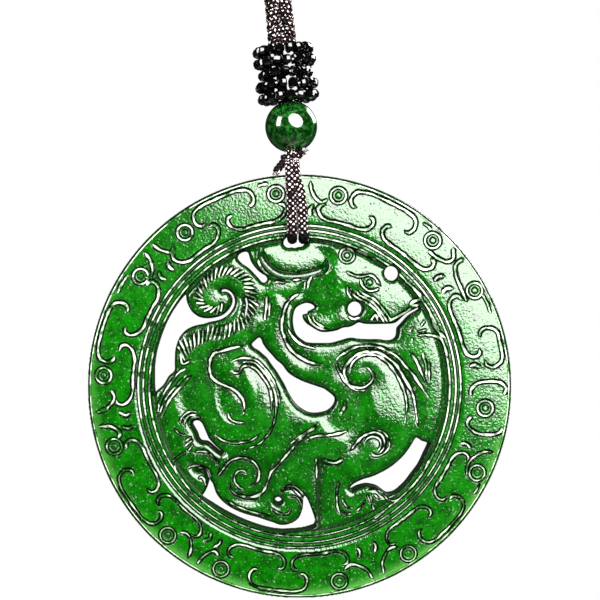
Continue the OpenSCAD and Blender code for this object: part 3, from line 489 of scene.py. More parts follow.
# The hairs of the tail lie across its middle line and get shorter towards the tip
hair_pitch = 0.66
line = smooth_line(tail_line, per=12)
lengths = np.r_[0, np.cumsum(np.hypot(*np.diff(line, axis=0).T))]
for place in np.arange(0.4, lengths[-1], hair_pitch):
    middle, ahead = (
        np.array([np.interp(place + step, lengths, line[:, k]) for k in (0, 1)])
        for step in (0, 0.2))
    on = (ahead - middle) / np.hypot(*(ahead - middle))
    across = np.array([-on[1], on[0]]) * (1.2 - 0.7 * place / lengths[-1])
    carve([middle - across - on * 0.6, middle - on * 0.05, middle + across + on * 0.4],
        0.5, 0.28, wall=0.6, taper=3.0)


def round_ring(angle, radius):
    """The place on the face at an angle and a radius."""
    return (radius * math.cos(math.radians(angle)), radius * math.sin(math.radians(angle)))


def carve_ring(points, wide=1.0, taper=16.0):
    """Cut a line of the ring's pattern, given as angles and radii."""
    line = [round_ring(*p) for p in points]
    carve(line, ring_line_w * wide, ring_line_depth, ring_wall, taper)


def curled(a, b, end, crown_r):
    """A line from angle a to angle b, with the same curl at both its ends."""
    crown = [(a + (b - a) * t, crown_r) for t in (0.2, 0.35, 0.5, 0.65, 0.8)]
    return [(a + turn, r) for turn, r in end] + crown + [(b - turn, r) for turn, r in end[::-1]]


for a, b in ring_cups:
    carve_ring(curled(a, b, cup_end, 23.75 if a < 90 or a > 190 else 23.55))
for a, b in ring_arches:
    carve_ring(curled(a, b, arch_end, 29))
for a, b in ring_hooks:
    bend = [(a + (b - a) * t, r) for t, r in ((0.3, 26.2), (0.6, 26.5), (0.9, 27.6))]
    carve_ring([(a, 26.7)] + bend + [(b, 29)], taper=6.0)
for a, b in ring_bars:
    carve_ring([(a, 28.9), ((a + b) / 2, 29), (b, 28.9)], 0.8, 4.0)
for angle in ring_ticks:
    carve_ring([(angle - 0.6, 25.7), (angle + 0.5, 24.9), (angle, 24.1)], 1.1, 4.0)
for bracket in ring_brackets:
    carve_ring(bracket)
for angle, radius in ring_eyes:
    round_cut(round_ring(angle, radius), 1.08, 0.5, ring_line_depth, ring_wall)
    round_cut(round_ring(angle, radius), 0.42, 0.2, ring_line_depth, 0.8, narrow=True)
round_cut(brow_curl, 1.0, 0.46, 0.25, 0.5)
round_cut(brow_curl, 0.4, 0.2, 0.25, 0.8, narrow=True)
round_cut(beast_eye, 0.45, 0.24, 0.15, 0.8, narrow=True)
for groove_r in moulding_radii:
    round_cut((0, 0), groove_r, 0.4, 0.06, 0.5)

# Round the rim runs a thin pale line of painted highlight, with painted shade outside it
rim_line_r = 29.5
at_rim = np.where(
    face_r > rim_line_r, np.minimum((face_r - rim_line_r) / 0.3, 1), (rim_line_r - face_r) / 0.06)
from_cut = np.minimum(from_cut, np.where(face_r > 29.93, far, at_rim))
# Round each opening runs a dark line of painted shade at the edge
from_cut = np.minimum(from_cut, 1.2 + np.clip(abs(to_opening - 0.14) - 0.05, 0, None) / 0.1)


def rounded_edge(height, radius):
    """The height with every edge of the slab rounded off."""
    return height - radius * (1 - quarter_round(to_edge, radius))


# The ring's face falls away a little to its rim, which is worn round
ring_face = half_thick - 0.5 * np.clip((face_r - 23) / 7, 0, 1) ** 2
blend = np.clip((face_r - (field_r - 0.3)) / 0.25, 0, 1)
front = forms * (1 - blend) + (ring_face - 0.1 * (face_r < 23.2)) * blend
eye_dome = np.clip(1 - np.hypot(face_x - beast_eye[0], face_z - beast_eye[1]) / 0.95, 0, 1)
front = softened(front + 0.25 * np.sqrt(eye_dome), 0.07) - cuts
# Less light reaches the ground, the valleys between forms, the crease and the lower part of
# the field: painted shade darkens them there
hollow = np.clip((ground + 0.8 - front - cuts - fall) / 0.8, 0, 1)
valleys = 0.33 * (1 - np.clip(to_form_edge / 1.8, 0, 1))
for darker in (valleys, 0.09 * np.clip(-face_z / 8, 0, 1), in_crease):
    hollow = np.maximum(hollow, darker)
hollow *= face_r < field_r - 0.3
# Painted light: the outer rim, most of all towards the bottom, is coloured lighter as if lit through
painted_rim_light = np.clip((face_r - 27.8) / 2.2, 0, 1) ** 2 * np.clip(0.4 - 0.6 * face_z / disc_r, 0, 1)
front = rounded_edge(front, 0.3) - 0.6 * (1 - quarter_round(disc_r - face_r, 0.6))
back = -rounded_edge(np.full(face_x.shape, half_thick), 0.45)

# The slab's skin: a point on the front and one on the back for each point of the face, and
# walls round every opening, whose points are pulled onto the sawn edge
kept = to_edge > -0.5 * grid_step
number = np.full(kept.shape, -1)
number[kept] = np.arange(kept.sum())
quads = np.stack(
    [number[:-1, :-1], number[1:, :-1], number[1:, 1:], number[:-1, 1:]], -1).reshape(-1, 4)
quads = quads[(quads >= 0).all(1)]
used = np.zeros(kept.sum(), bool)
used[quads] = True
quads = (np.cumsum(used) - 1)[quads]
x, z, edge_d, cut_d, y_front, y_back = (
    a[kept][used] for a in (face_x, face_z, to_edge, from_cut, -front, -back))
slope_x, slope_z = (a[kept][used] for a in np.gradient(to_edge, grid_step))
sides = np.concatenate([quads[:, [k, (k + 1) % 4]] for k in range(4)])
code = sides[:, 0].astype(np.int64) * len(x) + sides[:, 1]
twin = sides[:, 1].astype(np.int64) * len(x) + sides[:, 0]
border = sides[~np.isin(code, twin)]
edge_points = np.unique(border)
x[edge_points] -= slope_x[edge_points] * edge_d[edge_points]
z[edge_points] -= slope_z[edge_points] * edge_d[edge_points]
skin_points = np.vstack([np.stack([x, y, z], 1) for y in (y_front, y_back)])
walls = np.stack([border[:, 1], border[:, 0], border[:, 0] + len(x), border[:, 1] + len(x)], 1)
at_seam = abs(np.hypot(x, z) - field_r) < 0.25
may_go = np.r_[(edge_d > 0.25) & (cut_d > 2) & ~at_seam, edge_d > 0.25]


def placed(name, data):
    """A new object in the scene."""
    thing = bpy.data.objects.new(name, data)
    bpy.context.scene.collection.objects.link(thing)
    return thing


def skin_part(name, faces, triangles):
    """Some faces of the skin as a mesh of so many triangles, thinned out away from the cuts."""
    points = np.unique(faces)
    renumber = np.zeros(len(skin_points), np.int64)
    renumber[points] = np.arange(len(points))
    faces = renumber[faces]
    mesh = bpy.data.meshes.new(name)
    mesh.vertices.add(len(points))
    mesh.vertices.foreach_set("co", (skin_points[points] * MM + disc_middle).ravel())
    mesh.loops.add(faces.size)
    mesh.loops.foreach_set("vertex_index", faces.ravel())
    mesh.polygons.add(len(faces))
    mesh.polygons.foreach_set("loop_start", np.arange(0, faces.size, 4))
    mesh.update(calc_edges=True)
    mesh.validate()
    holder = placed("thinning", mesh)
    group = holder.vertex_groups.new(name="may go")
    group.add(np.flatnonzero(may_go[points]).tolist(), 1.0, "REPLACE")
    thin = holder.modifiers.new("thin", "DECIMATE")
    thin.ratio = triangles / (2 * len(faces))
    thin.vertex_group = "may go"
    depsgraph = bpy.context.evaluated_depsgraph_get()
    done = bpy.data.meshes.new_from_object(holder.evaluated_get(depsgraph))
    bpy.data.objects.remove(holder)
    return done


def add_piece(name, mesh, material, stands_for):
    """A mesh as a piece of the pendant, in place of one of the solids."""
    piece = placed(name, mesh)
    mesh.materials.append(material)
    mesh.shade_smooth()
    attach(piece, "root")
    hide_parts(stands_for)
    return piece


def read_all(items, key, per=1, kind=np.int32):
    """One property of all the points, corners or faces of a mesh."""
    values = np.zeros(len(items) * per, kind)
    items.foreach_get(key, values)
    return values.reshape(-1, per).squeeze()


def paint(mesh, name, values):
    """Store a mark at the points of a mesh."""
    layer = mesh.attributes.new(name, "FLOAT", "POINT")
    layer.data.foreach_set("value", values.astype(np.float32))


def fill_in(tree, node, inputs):
    """Give a node's inputs their values, or join them to the outputs of other nodes."""
    for socket, value in inputs.items():
        if isinstance(value, bpy.types.NodeSocket):
            tree.links.new(value, node.inputs[socket])
        else:
            node.inputs[socket].default_value = value


def add_node(tree, kind, inputs, **settings):
    """A new shader node with its settings made and its inputs filled in."""
    node = tree.nodes.new("ShaderNode" + kind)
    for setting, value in settings.items():
        setattr(node, setting, value)
    fill_in(tree, node, inputs)
    return node


def start_material(name, inputs):
    """A new material with its nodes and its shader, whose plain inputs are filled in."""
    material = bpy.data.materials.new(name)
    material.use_nodes = True
    shader = material.node_tree.nodes["Principled BSDF"]
    fill_in(material.node_tree, shader, inputs)
    return material, material.node_tree, shader


def noise(tree, inputs):
    """Noise through the solid, in the object's own coordinates."""
    place = add_node(tree, "TexCoord", {}).outputs["Object"]
    return add_node(tree, "TexNoise", {"Vector": place, **inputs}).outputs["Fac"]


def painted(tree, name):
    """A mark stored at the points of the mesh."""
    return add_node(tree, "Attribute", {}, attribute_name=name).outputs["Fac"]


def stretched(tree, value, least, most, first=0, last=1):
    """The value stretched from the range least to most onto first to last."""
    inputs = {"Value": value, "From Min": least, "From Max": most, "To Min": first, "To Max": last}
    return add_node(tree, "MapRange", inputs).outputs["Result"]


def reckon(tree, operation, *values):
    """The result of a sum."""
    inputs = dict(enumerate(values))
    return add_node(tree, "Math", inputs, operation=operation).outputs["Value"]


def laid_over(tree, mark, under, colour):
    """A colour laid over another as far as a mark says."""
    inputs = {"Factor": mark, "A": under, "B": colour}
    return add_node(tree, "Mix", inputs, data_type="RGBA").outputs["Result"]


def ramp(tree, mark, stops):
    """Colours over a mark: the place and colour of each stop."""
    node = add_node(tree, "ValToRGB", {"Fac": mark})
    elements = node.color_ramp.elements
    for _ in stops[2:]:
        elements.new(0.5)
    for element, (place, colour) in zip(elements, stops):
        element.position = place
        element.color = (*colour, 1)
    return node.outputs["Color"]


def bumped(tree, height, strength, depth):
    """The way the surface faces, with a fine height on it."""
    inputs = {"Height": height, "Strength": strength, "Distance": depth}
    return add_node(tree, "Bump", inputs).outputs["Normal"]


# The cloudy colour of the two jades and of the glass
mottle = bpy.data.node_groups.new("mottle", "ShaderNodeTree")
for socket in ("Scale", "Detail", "Roughness", "From", "To"):
    mottle.interface.new_socket(socket, in_out="INPUT", socket_type="NodeSocketFloat")
for socket in ("Dark", "Light"):
    mottle.interface.new_socket(socket, in_out="INPUT", socket_type="NodeSocketColor")
mottle.interface.new_socket("Colour", in_out="OUTPUT", socket_type="NodeSocketColor")
given = mottle.nodes.new("NodeGroupInput").outputs
cloud = noise(mottle, {socket: given[socket] for socket in ("Scale", "Detail", "Roughness")})
cloud = stretched(mottle, cloud, given["From"], given["To"])
fill_in(mottle, mottle.nodes.new("NodeGroupOutput"), {
    "Colour": laid_over(mottle, cloud, given["Dark"], given["Light"])})


def mottled(tree, inputs):
    """The cloudy colour placed in a material, with its own values."""
    return add_node(tree, "Group", inputs, node_tree=mottle).outputs["Colour"]


jade, tree, shader = start_material("green jade", {
    "IOR": 1.62, "Coat IOR": 1.62, "Coat Roughness": 0.07, "Specular Tint": (0.98, 1, 0.95, 1)})
jade_greens = mottled(tree, {
    "Scale": 500, "Detail": 6, "Roughness": 0.85, "From": 0.36, "To": 0.66,
    "Dark": (0.0004, 0.036, 0.0002, 1), "Light": (0.003, 0.19, 0.0005, 1)})
halves = reckon(tree, "DIVIDE", painted(tree, "from_cut"), far)


def mark_ramp(stops):
    """A grey over the distance from a cut: half widths and brightness of each stop."""
    return ramp(tree, halves, [(distance / far, (grey, grey, grey)) for distance, grey in stops])


# Painted shade along the walls of the cuts and a painted highlight on their floors
shade_in_cuts = mark_ramp([(0.35, 0), (0.6, 1), (1.35, 1), (1.65, 0)])
cut_floor_highlight = mark_ramp([(0.25, 0.95), (0.55, 0)])
pits = noise(tree, {"Scale": 3300, "Detail": 1})
dark_specks = stretched(tree, pits, 0.66, 0.74, last=0.8)
pale_specks = stretched(tree, pits, 0.35, 0.27, last=0.18)
cut_shade_and_specks = reckon(tree, "MAXIMUM", shade_in_cuts, dark_specks)
dull_parts = reckon(tree, "MAXIMUM", stretched(tree, painted(tree, "hollow"), 0.33, 1), cut_shade_and_specks)
# Noise breaks up the painted highlights on the cut floors
highlight_breakup = stretched(tree, noise(tree, {"Scale": 600, "Detail": 4}), 0.42, 0.52)
broken_line_highlights = reckon(tree, "MULTIPLY", cut_floor_highlight, highlight_breakup)
highlights_and_pale_specks = reckon(tree, "MAXIMUM", broken_line_highlights, pale_specks)
# Painted shade: deep green laid over the hollows
in_shade = stretched(tree, painted(tree, "hollow"), 0, 0.4)
# Over the jade's own cloudy green: a lighter rim painted as if lit through, painted shade in hollows
# and cuts, dark specks, and painted highlights on the cut floors with pale specks
colour = jade_greens
for mark, tint in (
        (painted(tree, "painted_rim_light"), (0.16, 0.55, 0.1, 1)), (in_shade, (0.0003, 0.026, 0.0002, 1)),
        (cut_shade_and_specks, (0.0, 0.005, 0.0, 1)), (highlights_and_pale_specks, (0.78, 0.97, 0.7, 1))):
    colour = laid_over(tree, mark, colour, tint)
grain = bumped(tree, noise(tree, {"Scale": 2800, "Detail": 1}), 0.7, 0.00005)
fill_in(tree, shader, {
    "Base Color": colour, "Normal": grain, "Coat Normal": grain,
    "Roughness": stretched(tree, dull_parts, 0, 1, 0.12, 0.75),
    "Coat Weight": stretched(tree, dull_parts, 0, 1, 0.5, 0.0),
    "Specular IOR Level": stretched(tree, dull_parts, 0, 1, 0.5, 0.03)})


def read_off(values, at):
    """The value of a drawing of the face at each point of a mesh."""
    x, z = (at[:, [0, 2]].T - grid_axis[0]) / grid_step
    i, k = x.astype(int), z.astype(int)
    s, t = x - i, z - k
    return ((1 - s) * ((1 - t) * values[i, k] + t * values[i, k + 1])
        + s * ((1 - t) * values[i + 1, k] + t * values[i + 1, k + 1]))


front_faces = np.vstack([quads, walls])
on_ring = np.hypot(*skin_points[front_faces][:, :, [0, 2]].mean(1).T) > field_r
whole = 1
carved, plain_back = 195000 * whole, 40000 * whole
for name, faces, triangles in (
        ("jade_ring", front_faces[on_ring], carved), ("jade_beast", front_faces[~on_ring], carved),
        ("jade_back", quads[:, ::-1] + len(x), plain_back)):
    mesh = skin_part(name, faces, triangles)
    add_piece(name, mesh, jade, "jade_disc")
    at = (read_all(mesh.vertices, "co", 3, np.float32) - disc_middle) / MM
    for mark, drawing, plain in (
            ("hollow", hollow, 0.0), ("from_cut", from_cut, far), ("painted_rim_light", painted_rim_light, 0.0)):
        paint(mesh, mark, np.where(at[:, 1] < 0, read_off(drawing, at), plain))
    # Shading follows the broader of two faces that meet, which keeps the cuts' edges sharp
    mesh.calc_loop_triangles()
    corners = read_all(mesh.loop_triangles, "vertices", 3)
    spans = [at[corners[:, k]] - at[corners[:, 0]] for k in (1, 2)]
    face_slopes = np.cross(spans[0], spans[1])
    upright = np.zeros(at.shape)
    for k in range(3):
        np.add.at(upright, corners[:, k], face_slopes)
    upright /= np.linalg.norm(upright, axis=1)[:, None] + 1e-12
    mesh.normals_split_custom_set_from_vertices(upright.tolist())

# The strands that carry the disc
# Two lengths of fine braided cord, 1.3 mm thick, come out of the bead's knot, run down the
# front of the ring, through the drilled hole and up its back. Painted shade darkens the bend.
strand_r = 0.76
strand_turn = 3.7
left_route = [
    (-1.35, -0.4, 33.6), (-1.4, -0.75, 32.6), (-1.4, -1.6, 31.6), (-1.35, -2.7, 30.7),
    (-1.3, -3.3, 29.2), (-1.2, -3.45, 27.4), (-1.15, -3.35, 24.8), (-1.08, -3.35, 22.6),
    (-1.05, -3.25, 21.6), (-1.05, -2.7, 21), (-1.05, -1.5, 20.95)]
right_route = [
    (-1.0, -0.3, 33.6), (-0.85, -0.6, 32.6), (-0.75, -1.2, 31.6), (-0.65, -2.3, 30.8),
    (-0.45, -3.15, 29.2), (0.1, -3.35, 27.4), (0.38, -3.35, 24.8), (0.5, -3.35, 22.6),
    (0.55, -3.25, 21.6), (0.55, -2.7, 21), (0.55, -1.5, 20.95)]


def round_the_ring(route):
    """The route down the front of the ring, through the hole and up the back."""
    return route + [(x, -y, z) for x, y, z in route[::-1]]


def even_line(points, spacing, per=8):
    """A smooth line through the points, in even pieces, and how far along each point lies."""
    line = smooth_line(points, per=per)
    lengths = np.r_[0, np.cumsum(np.linalg.norm(np.diff(line, axis=0), axis=1))]
    places = np.linspace(0, lengths[-1], max(2, int(lengths[-1] / spacing) + 1))
    return np.stack([np.interp(places, lengths, line[:, k]) for k in range(3)], 1), places


def across_line(line):
    """Two directions square to the line at each point, turning no more than it does."""
    heading = np.gradient(line, axis=0)
    heading /= np.linalg.norm(heading, axis=1)[:, None]
    side = np.cross(heading[0], (0.0, 0.0, 1.0) if abs(heading[0][2]) < 0.9 else (0.0, 1.0, 0.0))
    sides = []
    for t in heading:
        side = side - t * side.dot(t)
        side = side / np.linalg.norm(side)
        sides.append(side)
    sides = np.array(sides)
    return sides, np.cross(heading, sides)


def ovals(line, u, v, wide, thick, sides):
    """An oval of points round each point of a line."""
    corners = np.arange(sides) * math.tau / sides
    rings = (line[:, None] + u[:, None] * (wide * np.cos(corners))[:, None]
        + v[:, None] * (thick * np.sin(corners))[:, None])
    return rings.reshape(-1, 3)


def tube_faces(rings, sides, first=0):
    """The skin between rings of points, with both ends closed."""
    a = first + np.arange(rings - 1)[:, None] * sides + np.arange(sides)
    b = first + np.arange(rings - 1)[:, None] * sides + (np.arange(sides) + 1) % sides
    walls = np.stack([a, b, b + sides, a + sides], -1).reshape(-1, 4).tolist()
    last = first + (rings - 1) * sides
    return walls + [list(range(first, first + sides))[::-1], list(range(last, last + sides))]


def cord_yarns(points, radius, turn, spacing=0.065, sides=6, each_way=3):
    """Yarns of a round braid along a line, in mm: their points, faces and how far out they lie."""
    line, places = even_line(points, spacing)
    u, v = across_line(line)
    yarn_t, swing = 0.2 * radius, 0.1 * radius
    girth = math.tau * (radius - yarn_t - swing)
    yarn_w = 0.5 * girth / each_way * math.cos(math.atan(girth / turn))
    upper = np.clip(np.sin(np.arange(sides) * math.tau / sides), 0, 1)
    all_points, all_faces, crown = [], [], []
    for way in (1, -1):
        for k in range(each_way):
            angle = way * math.tau * places / turn + math.tau * k / each_way
            out = u * np.cos(angle)[:, None] + v * np.sin(angle)[:, None]
            height = way * np.cos(each_way * math.tau * places / turn)
            middle = line + out * (radius - yarn_t - swing + swing * height)[:, None]
            run = np.gradient(middle, axis=0)
            run /= np.linalg.norm(run, axis=1)[:, None]
            flat = np.cross(run, out)
            flat /= np.linalg.norm(flat, axis=1)[:, None]
            all_faces += tube_faces(len(line), sides, sum(len(p) for p in all_points))
            all_points.append(ovals(middle, flat, out, yarn_w, yarn_t, sides))
            crown.append((np.clip(height, 0, 1)[:, None] * upper).ravel())
    return np.vstack(all_points), all_faces, np.concatenate(crown)


def plain_tube(points, radius, sides=8, spacing=0.6):
    """A plain round cord along a line, in the same form as the yarns."""
    line, _ = even_line(points, spacing)
    skin = ovals(line, *across_line(line), radius, radius, sides)
    return skin, tube_faces(len(line), sides), np.zeros(len(skin))


def joined(name, parts):
    """One mesh, in metres, from parts given in mm from the disc's middle."""
    faces, first = [], 0
    for points, part_faces, _ in parts:
        faces += [[i + first for i in f] for f in part_faces]
        first += len(points)
    points = np.vstack([p for p, _, _ in parts]) * MM + disc_middle
    mesh = bpy.data.meshes.new(name)
    mesh.from_pydata(points.tolist(), [], faces)
    paint(mesh, "crown", np.concatenate([c for _, _, c in parts]))
    return mesh


silk, tree, shader = start_material("brown braided silk", {
    "Roughness": 0.6, "Specular IOR Level": 0.15})
# Painted highlight: the crowns of the yarns turn pale pink over the dark brown, broken by noise
crown_highlight = reckon(tree, "MULTIPLY", painted(tree, "crown"), noise(tree, {"Scale": 1500}))
fill_in(tree, shader, {"Base Color": ramp(tree, crown_highlight, [
    (0.24, (0.002, 0.0008, 0.0008)), (0.3, (0.1, 0.025, 0.025)), (0.36, (1, 0.88, 0.88))])})

for name, route, node in (
        ("left_carrying_strand", left_route, "left_strand"),
        ("right_carrying_strand", right_route, "right_strand")):
    way = round_the_ring(route)
    yarns = cord_yarns(way, strand_r, strand_turn, 0.09, sides=5, each_way=5)
    # Painted shade: the yarns lose their painted highlight where the strands bend into the hole
    yarns[2][:] *= np.clip((yarns[0][:, 2] - 20.9) / 0.8, 0, 1)
    mesh = joined(name, [yarns, plain_tube(way, 0.5)])
    add_piece(name, mesh, silk, node)

# The knot under the bead
# The two cord ends are tied round the strands, flattened by the bead, trimmed and left to fray.
rng = random.Random(4)
knot_at = np.array((-1.25, 0, 32.5))
frays_each = 14
knot_loops = []
for wide, forward, height, tilt in ((0.5, 0, -0.25, 0.2), (1.15, 0.35, 0.1, 0.12)):
    loop = [
        knot_at + np.array((
            0.1 + wide * math.cos(a), wide * math.sin(a) - forward, height + tilt * math.cos(a)))
        for a in np.linspace(0, math.tau, 13)]
    yarns = cord_yarns(loop, 0.46, 1.7)
    # The knot's loops carry a weaker painted highlight
    yarns[2][:] *= 0.8
    knot_loops += [yarns, plain_tube(loop, 0.3)]
for start, bend, end in (
        ((-0.4, -0.7, 0), (-1.2, -1.6, -1.0), (-2.05, -2.1, -2.1)),
        ((0.3, -0.6, 0), (0.9, -0.9, 0.35), (1.7, -0.9, 0.75))):
    tail = [knot_at + np.array(p) for p in (start, bend, end)]
    yarns = cord_yarns(tail, 0.6, 1.8)
    # Its cut ends carry a weaker painted highlight still
    yarns[2][:] *= 0.65
    knot_loops += [yarns, plain_tube(tail, 0.45)]
    on = (tail[2] - tail[1]) / np.linalg.norm(tail[2] - tail[1])
    for k in range(frays_each):
        aside = np.array([rng.uniform(-1, 1) for _ in range(3)]) * 0.4
        tip = tail[2] + aside * 1.3 + on * rng.uniform(0.2, 0.6)
        fray = plain_tube([tail[2] + aside - on * 0.4, tip], rng.uniform(0.05, 0.08), 5, 0.2)
        # Painted highlight on some of the frayed threads, picked at random
        fray[2][:] = rng.choice((0, 0.1, 0.6))
        knot_loops.append(fray)
add_piece("knot_with_frayed_ends", joined("knot", knot_loops), silk, "strand_knot")

# The jade bead
# A drilled and polished ball of darker green jade, 7.4 mm across, threaded on the cord.
bead_at = np.array((-1.2, 0, 36.9))
bead_r = 3.7
bead_hole_r = 1.0
bead_lean = 1


def leaning(p, lean):
    """A point from the bead's middle, on a line that leans to the left going up."""
    x, y, z = p
    turn = math.radians(lean)
    return bead_at + np.array(
        (x * math.cos(turn) - z * math.sin(turn), y, x * math.sin(turn) + z * math.cos(turn)))


def round_faces(sides, n):
    """The skin between closed sections of n points each, set round a middle line."""
    return [
        [i * n + j, (i + 1) % sides * n + j, (i + 1) % sides * n + (j + 1) % n, i * n + (j + 1) % n]
        for i in range(sides) for j in range(n)]


def turned(profile, sides, lean):
    """A round solid from its half section, in the same form as the yarns."""
    points = [
        leaning((r * math.cos(a), r * math.sin(a), z), lean)
        for a in np.arange(sides) * math.tau / sides for r, z in profile]
    return np.array(points), round_faces(sides, len(profile)), np.zeros(len(points))


top = math.acos(bead_hole_r / bead_r)
bead_section = [
    (bead_r * math.cos(a), bead_r * math.sin(a)) for a in np.linspace(-top, top, 44)]
bead_section += [(bead_hole_r, z) for z in np.linspace(3.3, -3.3, 6)]
bead_jade, tree, shader = start_material("dark jade", {
    "Roughness": 0.1, "IOR": 2.0, "Coat Weight": 0.5, "Coat Roughness": 0.03})
fill_in(tree, shader, {"Base Color": mottled(tree, {
    "Scale": 1300, "Detail": 8, "Roughness": 0.75, "From": 0.47, "To": 0.72,
    "Dark": (0.0001, 0.015, 0.0003, 1), "Light": (0.025, 0.25, 0.025, 1)})})
bead_mesh = joined("bead", [turned(bead_section, 72, bead_lean)])
add_piece("jade_ball", bead_mesh, bead_jade, "jade_bead")
core = [leaning((0, 0, z), bead_lean) for z in np.linspace(-3.5, 3.7, 5)]
core_mesh = joined("core", [cord_yarns(core, 0.88, 3), plain_tube(core, 0.6)])
add_piece("cord_through_bead", core_mesh, silk, "bead_core")

# The rows of seed beads
# Five rings of tiny black glass beads with cut facets, strung on thread round the foot of the
# braid. Each bead lies with its hole along its ring, and none sits quite true.
lean = 6
first_row = 4.2
row_pitch = 1.67
row_radii = [3.7, 3.85, 3.3, 3.85, 3.7]
beads_in_row = 17
seed_sides, seed_round = 9, 7
seed_middle_r, seed_wall, seed_half_long = 0.47, 0.28, 0.56
seed_faces = [[a, d, c, b] for a, b, c, d in round_faces(seed_sides, seed_round)]
seed_parts = []
for row, row_r in enumerate(row_radii):
    for k in range(beads_in_row):
        angle = math.tau * (k + rng.uniform(-0.12, 0.12) + 0.37 * row) / beads_in_row
        r = row_r + rng.uniform(-0.09, 0.06)
        z = first_row + row * row_pitch + rng.uniform(-0.09, 0.09)
        size = rng.uniform(0.93, 1.04)
        tip = Matrix.Rotation(angle, 3, "Z") @ Matrix.Rotation(rng.uniform(-0.2, 0.2), 3, "X")
        tip = tip @ Matrix.Rotation(rng.uniform(-0.2, 0.2), 3, "Z")
        points = []
        for a in (np.arange(seed_sides) + rng.random()) * math.tau / seed_sides:
            for b in np.arange(seed_round) * math.tau / seed_round:
                out = (seed_middle_r + seed_wall * math.cos(b)) * size
                p = tip @ Vector((
                    out * math.cos(a), seed_half_long * math.sin(b), out * math.sin(a)))
                points.append(leaning(
                    (r * math.cos(angle) + p.x, r * math.sin(angle) + p.y, z + p.z), lean))
        seed_parts.append((np.array(points), seed_faces, np.zeros(len(points))))
# A plain dark sleeve stands for the thread inside the rings
sleeve_from, sleeve_to = first_row - 0.35, first_row + 6.95
sleeve_out, sleeve_in = 3.05, 2.3
sleeve = [
    (sleeve_out, sleeve_from), (sleeve_out, sleeve_to), (sleeve_in, sleeve_to),
    (sleeve_in, sleeve_from)]
seed_parts.append(turned(sleeve, 40, lean))
black_glass, tree, shader = start_material("black glass", {"Roughness": 0.05, "IOR": 1.9})
fill_in(tree, shader, {"Base Color": mottled(tree, {
    "Scale": 300, "Detail": 2, "Roughness": 0.5, "From": 0, "To": 1,
    "Dark": (0.0004, 0.0004, 0.0004, 1), "Light": (0.001, 0.0006, 0.0006, 1)})})
seed_beads = add_piece(
    "rings_of_seed_beads", joined("seed beads", seed_parts), black_glass, "seed_bead_rows")
seed_beads.data.shade_flat()

# The braid
# Four thin cords plaited flat, 4 mm wide where they come up out of the seed beads. Their foot
# is held inside the rings.
braid_from, braid_to = 4.0, 30.0
plait_turn = 5.16
plait_wide, plait_deep = 1.45, 0.62
braid_parts = []
for k in range(4):
    way = []
    for z in np.arange(braid_from, braid_to + 0.01, plait_turn / 16):
        swing = math.tau * z / plait_turn + k * math.pi / 2
        narrow = 1 - 0.12 * min(1, max(0, (z - 10) / 8))
        x = plait_wide * narrow * math.sin(swing)
        way.append(leaning((x, plait_deep * math.sin(2 * swing), z), lean))
    braid_parts += [
        cord_yarns(way, 0.72, 4.2, 0.13, sides=5, each_way=6), plain_tube(way, 0.5)]
add_piece("plaited_braid", joined("braid", braid_parts), silk, "braid")

# The cord round the neck
# The braid's four cords part in pairs at its top. Each pair is laid up as a twisted cord,
# 2.4 mm thick, and the two run up over the collar bones and meet behind the neck.
neck_route = [
    (0, 1.2, 0), (20, 0, -1), (38, -9, -4), (52, -24, -10), (60, -44, -20), (62, -64, -33),
    (60, -84, -50), (54, -101, -70), (46, -114, -94), (36, -122, -120), (26, -127, -146),
    (16, -129, -172), (7, -130, -192)]
ply_r = 0.58
ply_out = 0.6
ply_turn = 9
ply_sides = 10
to_disc = disc_middle / MM
right_half = [np.array(p) - to_disc for p in neck_route]
left_half = [np.array((-x, y, z)) - to_disc for x, y, z in neck_route]
foot, parting = braid_to + 0.1, braid_to + 2
neck_way = [leaning((-1.25, 0, foot), lean), leaning((-1.3, 0, parting), lean)]
neck_way += left_half[:0:-1] + right_half
neck_way += [leaning((1.3, 0, parting), lean), leaning((1.25, 0, foot), lean)]
line, places = even_line(neck_way, 0.5)
u, v = across_line(line)
neck_parts = []
for k in (0, 1):
    swing = math.tau * places / ply_turn + k * math.pi
    ply = line + ply_out * (u * np.cos(swing)[:, None] + v * np.sin(swing)[:, None])
    skin = ovals(ply, *across_line(ply), ply_r, ply_r, ply_sides)
    neck_parts.append((skin, tube_faces(len(line), ply_sides), np.zeros(len(skin))))
neck_mesh = joined("neck cord", neck_parts)

# The weave's map: once round each ply across it and millimetres along it
loops = read_all(neck_mesh.loops, "vertex_index") % (len(line) * ply_sides)
round_ply = (loops % ply_sides) / ply_sides
starts = read_all(neck_mesh.polygons, "loop_start")
span = np.maximum.reduceat(round_ply, starts) - np.minimum.reduceat(round_ply, starts)
wraps = np.repeat(span > 0.5, np.diff(np.r_[starts, len(loops)]))
round_ply = np.where(wraps & (round_ply < 0.5), round_ply + 1, round_ply)
weave = np.stack([round_ply, places[loops // ply_sides]], 1).astype(np.float32)
neck_mesh.uv_layers.new(name="weave").data.foreach_set("uv", weave.ravel())

woven, tree, shader = start_material("woven neck cord", {"Roughness": 0.55, "Sheen Weight": 0.2})
weave_map = add_node(tree, "UVMap", {}, uv_map="weave").outputs["UV"]
split = add_node(tree, "SeparateXYZ", {"Vector": weave_map})
around = reckon(tree, "MULTIPLY", split.outputs["X"], math.tau * 2)
along = reckon(tree, "MULTIPLY", split.outputs["Y"], math.tau / 1.2)
one_way = reckon(tree, "SINE", reckon(tree, "ADD", around, along))
other_way = reckon(tree, "SINE", reckon(tree, "SUBTRACT", around, along))
weave_height = reckon(tree, "ABSOLUTE", reckon(tree, "MULTIPLY", one_way, other_way))
# Painted highlight: the raised crossings of the weave are coloured pale over dark brown, and the same
# pattern bumps the surface
fill_in(tree, shader, {
    "Base Color": ramp(tree, weave_height, [(0.3, (0.012, 0.006, 0.006)), (0.95, (0.3, 0.21, 0.215))]),
    "Normal": bumped(tree, weave_height, 0.8, 0.00012)})
add_piece("cord_round_the_neck", neck_mesh, woven, "neck_cord")

